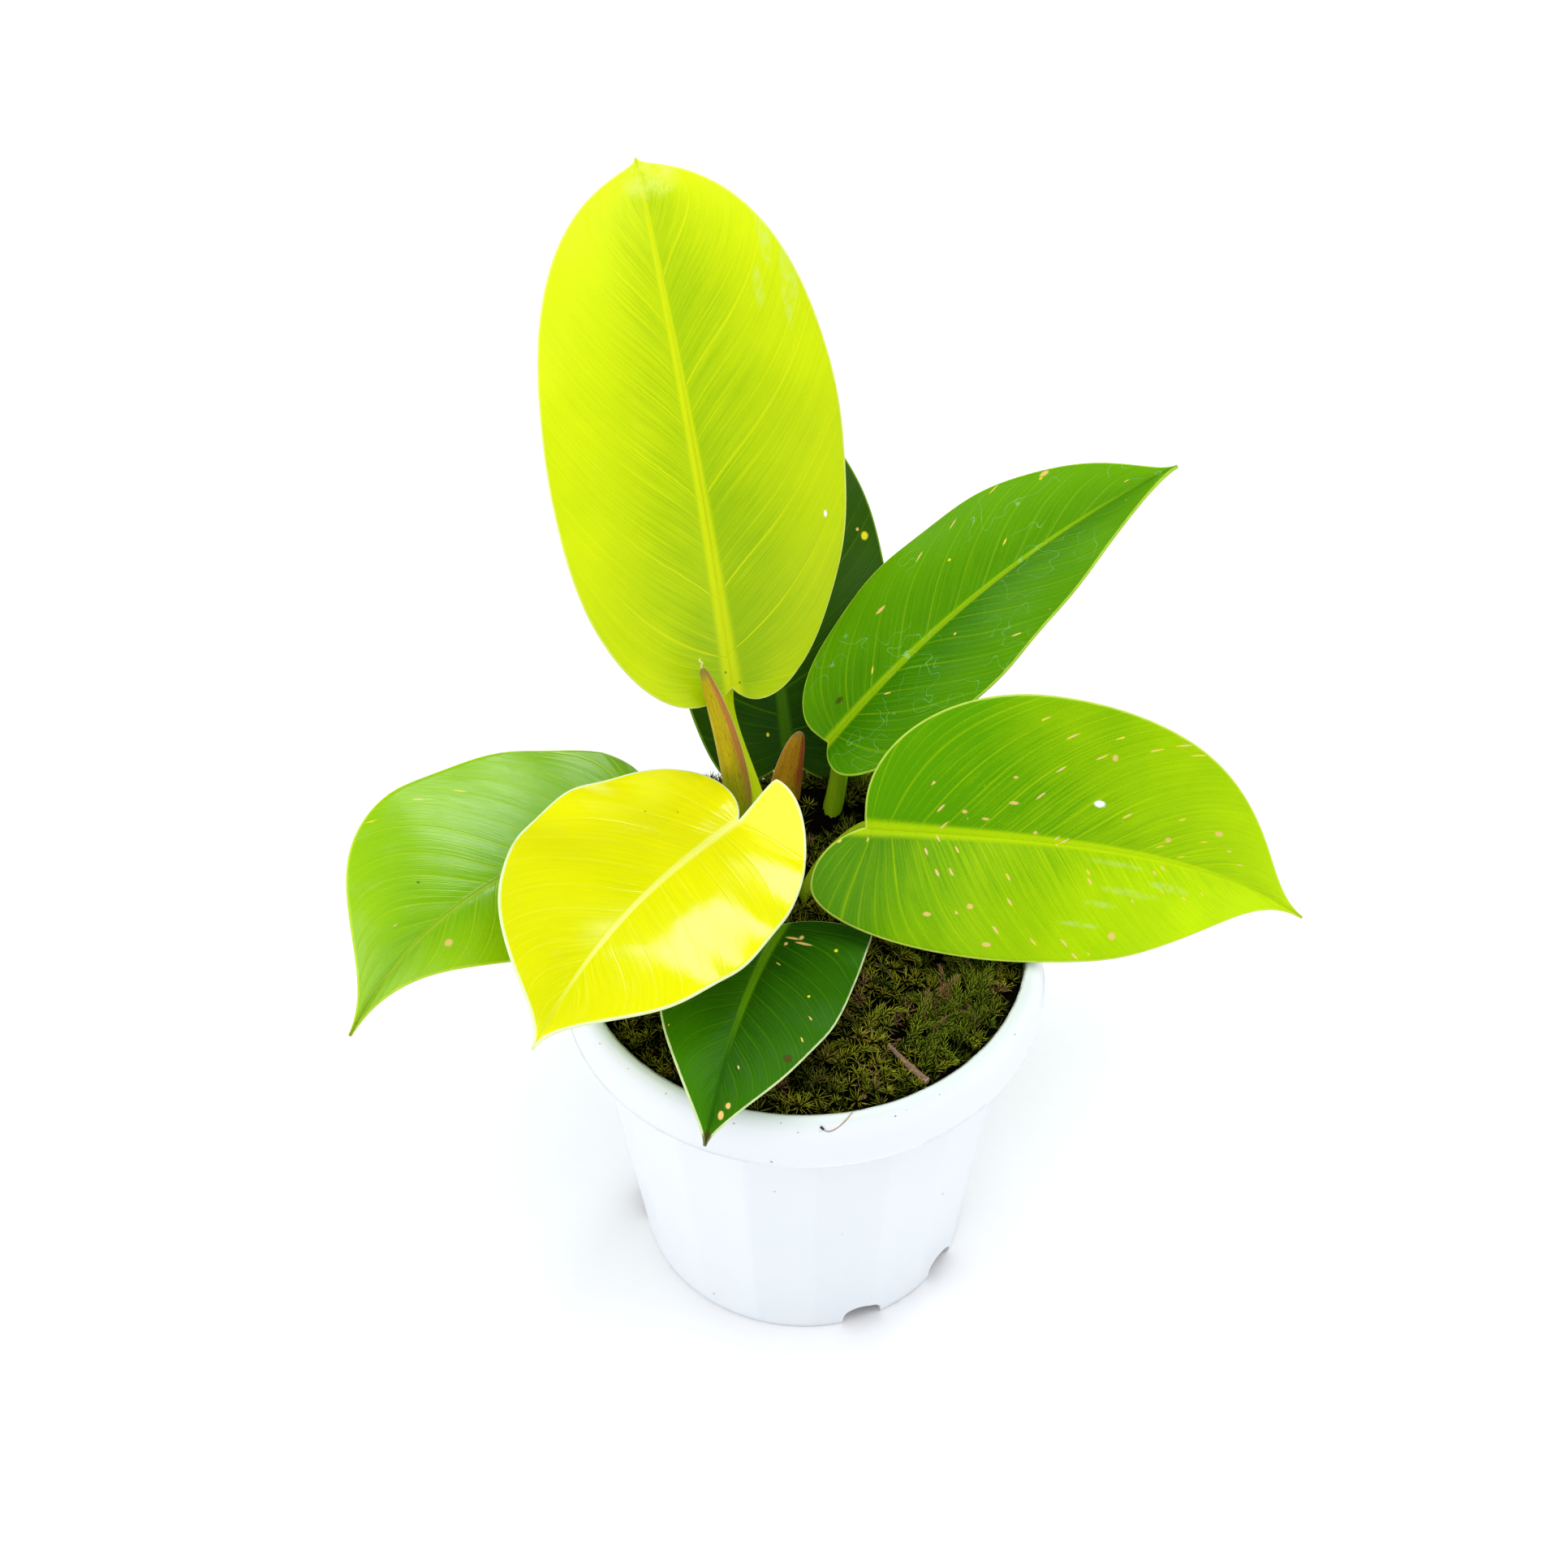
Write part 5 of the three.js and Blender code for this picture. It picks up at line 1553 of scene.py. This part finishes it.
class StageLook(bpy.types.PropertyGroup):
    """Floor, lights and surrounding light."""

    floor: tint_setting("Floor", "Colour of the floor", (0.88, 0.89, 0.91))
    world_strength: bpy.props.FloatProperty(
        name="Surround", description="Strength of the light all round", min=0, default=0.88
    )
    key_watts: power_setting("Overhead light", "Power of the overhead softbox", 14.0)
    gloss_watts: power_setting("Back light", "Power of the right softbox behind the plant", 9.0)
    pot_watts: power_setting("Pot lights", "Power of each low light beside the pot", 0.75)
    fill_watts: power_setting("Side light", "Power of the side softbox", 6.0)


class PlantLook(bpy.types.PropertyGroup):
    """Everything a user would change, piece by piece."""

    tall: group_setting(BladeLook, "Tall blade", "Upright bright blade")
    back: group_setting(BladeLook, "Back blade", "Dark blade behind")
    rightUpper: group_setting(BladeLook, "Upper right blade", "Mid green blade")
    right: group_setting(BladeLook, "Right blade", "Light green blade")
    yellow: group_setting(BladeLook, "Yellow blade", "Youngest open blade")
    left: group_setting(BladeLook, "Left blade", "Green blade at the left")
    front: group_setting(BladeLook, "Front blade", "Low dark blade")
    moss: group_setting(MossLook, "Moss", "Moss on the pot")
    stems: group_setting(StemLook, "Stems", "Stalks")
    pot: group_setting(PotLook, "Pot", "Nursery pot")
    stage: group_setting(StageLook, "Stage", "Floor and lights")


# How the single blades differ from the general look: colours as display values from 0 to 255, and
# the keys in BLADE_LENGTHS in millimetres.
BLADE_LENGTHS = ("vein_spacing", "left_shift", "right_shift", "rib_width", "margin_width")
# Their tip, side and lobe settings are painted light and shade.
BLADE_LOOKS = {
    "tall": {
        "light": (225, 240, 2), "deep": (148, 188, 1), "rib": (230, 239, 2),
        "margin": (248, 251, 150), "under": (215, 236, 30), "glow": (215, 232, 4),
        "vein_spacing": 26, "left_shift": 34, "right_shift": 30, "rib_width": 3.2,
        "vein_show": 0.5, "rib_show": 0.7, "rib_end": 1.3, "margin_show": 0.7, "streak_show": 1.0,
        "edge_light": 0.5, "tip_painted_light": 0.5, "side_painted_light": 0.22, "sheen": 0.2, "see_through": 0.25,
    },
    "back": {
        "light": (54, 92, 4), "deep": (20, 60, 1), "rib": (84, 132, 4),
        "margin": (150, 190, 50), "under": (64, 110, 15), "glow": (80, 145, 4),
        "left_shift": 16, "right_shift": 16,
        "vein_show": 0.3, "rib_show": 0.5, "sheen": 0.12, "see_through": 0.1,
    },
    "rightUpper": {
        "light": (98, 162, 3), "deep": (50, 116, 1), "rib": (176, 214, 4),
        "margin": (206, 232, 80), "under": (96, 150, 15), "glow": (120, 190, 4),
        "vein_spacing": 10, "left_shift": 24, "right_shift": 22, "rib_width": 2.1,
        "vein_show": 0.18, "rib_show": 0.55, "rib_end": 1.0, "side_painted_light": 0.4,
        "gloss": 0.24, "sheen": 0.1, "see_through": 0.14, "flecks": 0.06, "trails": 0.4,
    },
    "right": {
        "light": (200, 236, 5), "deep": (84, 154, 1), "rib": (200, 232, 3),
        "margin": (232, 244, 110), "under": (124, 180, 15), "glow": (170, 222, 4),
        "vein_spacing": 10, "left_shift": 26, "right_shift": 14, "rib_width": 2.8,
        "vein_show": 0.22, "rib_show": 0.65, "rib_end": 1.0, "edge_light": 0.1, "tip_painted_light": 1.12,
        "side_painted_light": -0.26, "lobe_painted_shade": 0.6, "sheen": 0.06, "see_through": 0.2, "flecks": 0.4,
    },
    "yellow": {
        "light": (246, 244, 4), "deep": (210, 218, 1), "rib": (252, 251, 140),
        "margin": (232, 246, 214), "under": (215, 220, 30), "glow": (240, 236, 8),
        "vein_spacing": 12, "left_shift": 18, "right_shift": 18, "rib_width": 1.5, "margin_width": 0.8,
        "vein_show": 0.07, "rib_show": 0.6, "rib_end": 1.0, "margin_show": 1.0, "streak_show": 1.0,
        "edge_light": 0.2, "tip_painted_light": -0.8, "side_painted_light": 0.2,
        "gloss": 0.09, "sheen": 0.55, "see_through": 0.22, "relief": 0.2,
    },
    "left": {
        "light": (160, 212, 4), "deep": (94, 162, 1), "rib": (196, 226, 30),
        "margin": (224, 240, 50), "under": (124, 175, 20), "glow": (160, 215, 4),
        "vein_spacing": 10, "left_shift": 16, "right_shift": 28, "rib_width": 1.3,
        "vein_show": 0.35, "rib_show": 0.5, "tip_painted_light": 0.4,
        "gloss": 0.2, "sheen": 0.75, "flecks": 0.05, "relief": 0.8,
    },
    "front": {
        "light": (54, 116, 3), "deep": (22, 74, 1), "rib": (112, 168, 4),
        "margin": (228, 242, 180), "under": (74, 122, 15), "glow": (80, 150, 4),
        "vein_spacing": 8, "left_shift": 16, "right_shift": 16, "rib_width": 1.9, "margin_width": 0.4,
        "vein_show": 0.15, "rib_show": 0.65, "rib_end": 0.75, "margin_show": 0.9, "side_painted_light": -0.3,
        "sheen": 0.06, "see_through": 0.08, "flecks": 0.08,
    },
}
# How young each leaf is, from 0 to 1, for the tint of its stalk.
YOUNG = {"tall": 1.0, "yellow": 0.8, "right": 0.3, "left": 0.3, "rightUpper": 0.15}


class PLANT_OT_blades(bpy.types.Operator):
    """Make the seven leaf blades"""

    bl_idname = "plant.blades"
    bl_label = "Blades"

    def execute(self, context):
        for name, leaf in LEAVES.items():
            look = getattr(context.scene.plant_look, name)
            skin = blade_material(name, look)
            finish_piece(blade_piece(name, leaf, look), skin, [f"blade_{name}"])
        return {"FINISHED"}


class PLANT_OT_stalks(bpy.types.Operator):
    """Make the leaf stalks"""

    bl_idname = "plant.stalks"
    bl_label = "Stalks"

    def execute(self, context):
        tints = context.scene.plant_look.stems
        for name, leaf in LEAVES.items():
            skin = stalk_material(name, tints, YOUNG.get(name, 0))
            finish_piece(stalk_piece(name, leaf), skin, [f"stalk_{name}"])
        return {"FINISHED"}


class PLANT_OT_sheaths(bpy.types.Operator):
    """Make the three sheaths and the dry thread at the tall one's tip"""

    bl_idname = "plant.sheaths"
    bl_label = "Sheaths"

    def execute(self, context):
        fresh = sheath_material(
            "fresh_sheath", display(214, 190, 22), display(196, 120, 70), display(240, 222, 150)
        )
        dry = sheath_material(
            "dry_sheath", display(214, 156, 30), display(176, 70, 42), display(240, 196, 150)
        )
        skins = {"tall": (fresh, "sheath_fresh"), "short": (dry, "sheath_dry"), "stub": (dry, "sheath_dry")}
        for name, sheath in SHEATHS.items():
            skin, slot = skins[name]
            finish_piece(sheath_piece(name, sheath), skin, [f"sheath_{name}"])
        points, quads, caps = strand(SHEATH_THREAD, 0.28)
        thread = put_mesh("sheath_thread", points, [quads, caps], {"number": 0})
        finish_piece(thread, litter_material("dry_thread", [display(206, 196, 140)]))
        return {"FINISHED"}


class PLANT_OT_moss(bpy.types.Operator):
    """Make the moss: felt, star tufts, feathery shoots and litter"""

    bl_idname = "plant.moss"
    bl_label = "Moss"

    def execute(self, context):
        look = context.scene.plant_look.moss
        green = moss_material(look)
        bark = litter_material("bark_crumbs", [display(92, 62, 40), display(140, 104, 66)])
        finish_piece(moss_mat_piece(), felt_and_shade_material(), ["moss"])
        finish_piece(moss_stars_piece(look), green)
        finish_piece(moss_shoots_piece(look), green)
        finish_piece(moss_litter_piece(look), bark)
        finish_piece(twig_piece(), twig_material(), ["twig"])
        return {"FINISHED"}


class PLANT_OT_pot(bpy.types.Operator):
    """Make the nursery pot and the bits that lie on its rim"""

    bl_idname = "plant.pot"
    bl_label = "Pot"

    def execute(self, context):
        finish_piece(pot_piece(), pot_material(context.scene.plant_look.pot), ["pot"])
        dirt = litter_material("rim_dirt", [display(150, 108, 62), display(58, 50, 44), display(96, 76, 58)])
        finish_piece(rim_litter_piece(), dirt)
        return {"FINISHED"}


class PLANT_OT_filling(bpy.types.Operator):
    """Dress the potting mix and the rootstock"""

    bl_idname = "plant.filling"
    bl_label = "Filling"

    def execute(self, context):
        for node, material in (("potting_mix", soil_material()), ("rootstock", root_material())):
            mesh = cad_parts[node].data
            mesh.materials.clear()
            mesh.materials.append(material)
        return {"FINISHED"}


class PLANT_OT_stage(bpy.types.Operator):
    """Make the camera, the floor and the lights"""

    bl_idname = "plant.stage"
    bl_label = "Stage"

    def execute(self, context):
        look = context.scene.plant_look.stage
        make_camera(context.scene)
        make_floor(look)
        make_lights(context.scene, look)
        context.scene.view_settings.view_transform = "Standard"
        return {"FINISHED"}


class PLANT_PT_panel(bpy.types.Panel):
    """The pieces of the plant, one button each"""

    bl_idname = "PLANT_PT_panel"
    bl_label = "Potted Philodendron"
    bl_space_type = "VIEW_3D"
    bl_region_type = "UI"
    bl_category = "Plant"

    def draw(self, context):
        for operator in OPERATORS:
            self.layout.operator(operator.bl_idname)
        self.layout.prop(context.scene.plant_look.moss, "tuft_count")


OPERATORS = (
    PLANT_OT_stage, PLANT_OT_pot, PLANT_OT_filling, PLANT_OT_moss, PLANT_OT_stalks, PLANT_OT_sheaths,
    PLANT_OT_blades,
)
CLASSES = (BladeLook, MossLook, StemLook, PotLook, StageLook, PlantLook, *OPERATORS, PLANT_PT_panel)


def make_camera(scene):
    """A camera that looks down on the plant from the front, rolled by half a degree."""
    camera = bpy.data.objects.new("camera", bpy.data.cameras.new("camera"))
    camera.data.lens = CAMERA_LENS
    camera.data.sensor_width = CAMERA_SENSOR
    camera.data.clip_end = CAMERA_SIGHT
    pitch = Matrix.Rotation(math.radians(CAMERA_PITCH), 4, "X")
    roll = Matrix.Rotation(math.radians(CAMERA_ROLL), 4, "Z")
    camera.matrix_world = Matrix.Translation(CAMERA_PLACE) @ pitch @ roll
    scene.collection.objects.link(camera)
    scene.camera = camera


def make_floor(stage):
    """A round sheet of paper, 12 m across, that dips a hair toward its rim: rings that lie closer
    together near the pot, and a fan in the middle."""
    rings, sides = FLOOR_GRID
    radius = (np.linspace(0.02, 1, rings) ** 2 * FLOOR_RADIUS)[:, None]
    x, y = polar(radius, around(sides)[None, :])
    height = np.broadcast_to(FLOOR_HEIGHT - FLOOR_DIP * (radius / FLOOR_RADIUS) ** 2, x.shape)
    points = np.stack([x, y, height], -1).reshape(-1, 3)
    k = np.arange(sides)
    fan = np.stack([np.full(sides, rings * sides), k, (k + 1) % sides], -1)
    body = grid_faces(rings, sides, wrap=True)[:, ::-1]
    floor = put_mesh("floor", np.vstack([points, [[0, 0, FLOOR_HEIGHT]]]), [body, fan])
    floor.data.materials.append(floor_material(stage))


# Softboxes: name, place, what it faces, size, which power it takes, and what share of that.
PLANT_MIDDLE = (0, 0, 0.15)
POT_MIDDLE = (0, 0, 0.06)
SOFTBOXES = [
    ("overhead", (0.15, -0.25, 1.75), PLANT_MIDDLE, 1.3, "key_watts", 1),
    ("left_side", (-1.5, -0.5, 0.9), PLANT_MIDDLE, 0.9, "fill_watts", 1),
    ("right_back", (0.92, 1.7, 1.2), PLANT_MIDDLE, 0.7, "gloss_watts", 1),
    ("left_back", (-1.2, 1.6, 1.05), PLANT_MIDDLE, 0.6, "gloss_watts", 0.3),
    ("pot_side_0", (-0.9, -0.15, 0.3), POT_MIDDLE, 0.4, "pot_watts", 1),
    ("pot_side_2", (0.9, -0.15, 0.3), POT_MIDDLE, 0.4, "pot_watts", 1),
]
SURROUND_TINT = (0.985, 0.99, 1.0, 1)


def softbox(name, place, aim, size, watts, scene):
    """A square area light at place that faces aim."""
    data = bpy.data.lights.new(name, "AREA")
    data.size = size
    data.energy = watts
    light = bpy.data.objects.new(name, data)
    away = np.asarray(place, float) - np.asarray(aim, float)
    turn = math.atan2(away[1], away[0]) + math.pi / 2
    tilt = math.acos(away[2] / np.linalg.norm(away))
    light.matrix_world = (
        Matrix.Translation(place) @ Matrix.Rotation(turn, 4, "Z") @ Matrix.Rotation(tilt, 4, "X")
    )
    scene.collection.objects.link(light)


def make_lights(scene, stage):
    """Even light from all round, a large softbox overhead, a weaker one at the left, two behind
    the plant that draw the sheen on the leaves, and two low ones beside the pot."""
    world = bpy.data.worlds.new("surround")
    world.use_nodes = True
    background = world.node_tree.nodes["Background"]
    background.inputs["Color"].default_value = SURROUND_TINT
    background.inputs["Strength"].default_value = stage.world_strength
    world.cycles_visibility.glossy = False
    scene.world = world
    for name, place, aim, size, power, share in SOFTBOXES:
        softbox(name, place, aim, size, getattr(stage, power) * share, scene)


def set_looks(plant):
    """Gives each blade its own colours and sizes."""
    for name, values in BLADE_LOOKS.items():
        look = getattr(plant, name)
        for key, value in values.items():
            if isinstance(value, tuple):
                value = display(*value)
            elif key in BLADE_LENGTHS:
                value = value * MM
            setattr(look, key, value)


def register():
    for cls in CLASSES:
        bpy.utils.register_class(cls)
    bpy.types.Scene.plant_look = group_setting(PlantLook, "Plant", "Looks of the plant")


def unregister():
    del bpy.types.Scene.plant_look
    for cls in reversed(CLASSES):
        bpy.utils.unregister_class(cls)


def main():
    register()
    set_looks(bpy.context.scene.plant_look)
    for operator in OPERATORS:
        group, name = operator.bl_idname.split(".")
        getattr(getattr(bpy.ops, group), name)()
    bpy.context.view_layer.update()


if __name__ == "__main__":
    main()
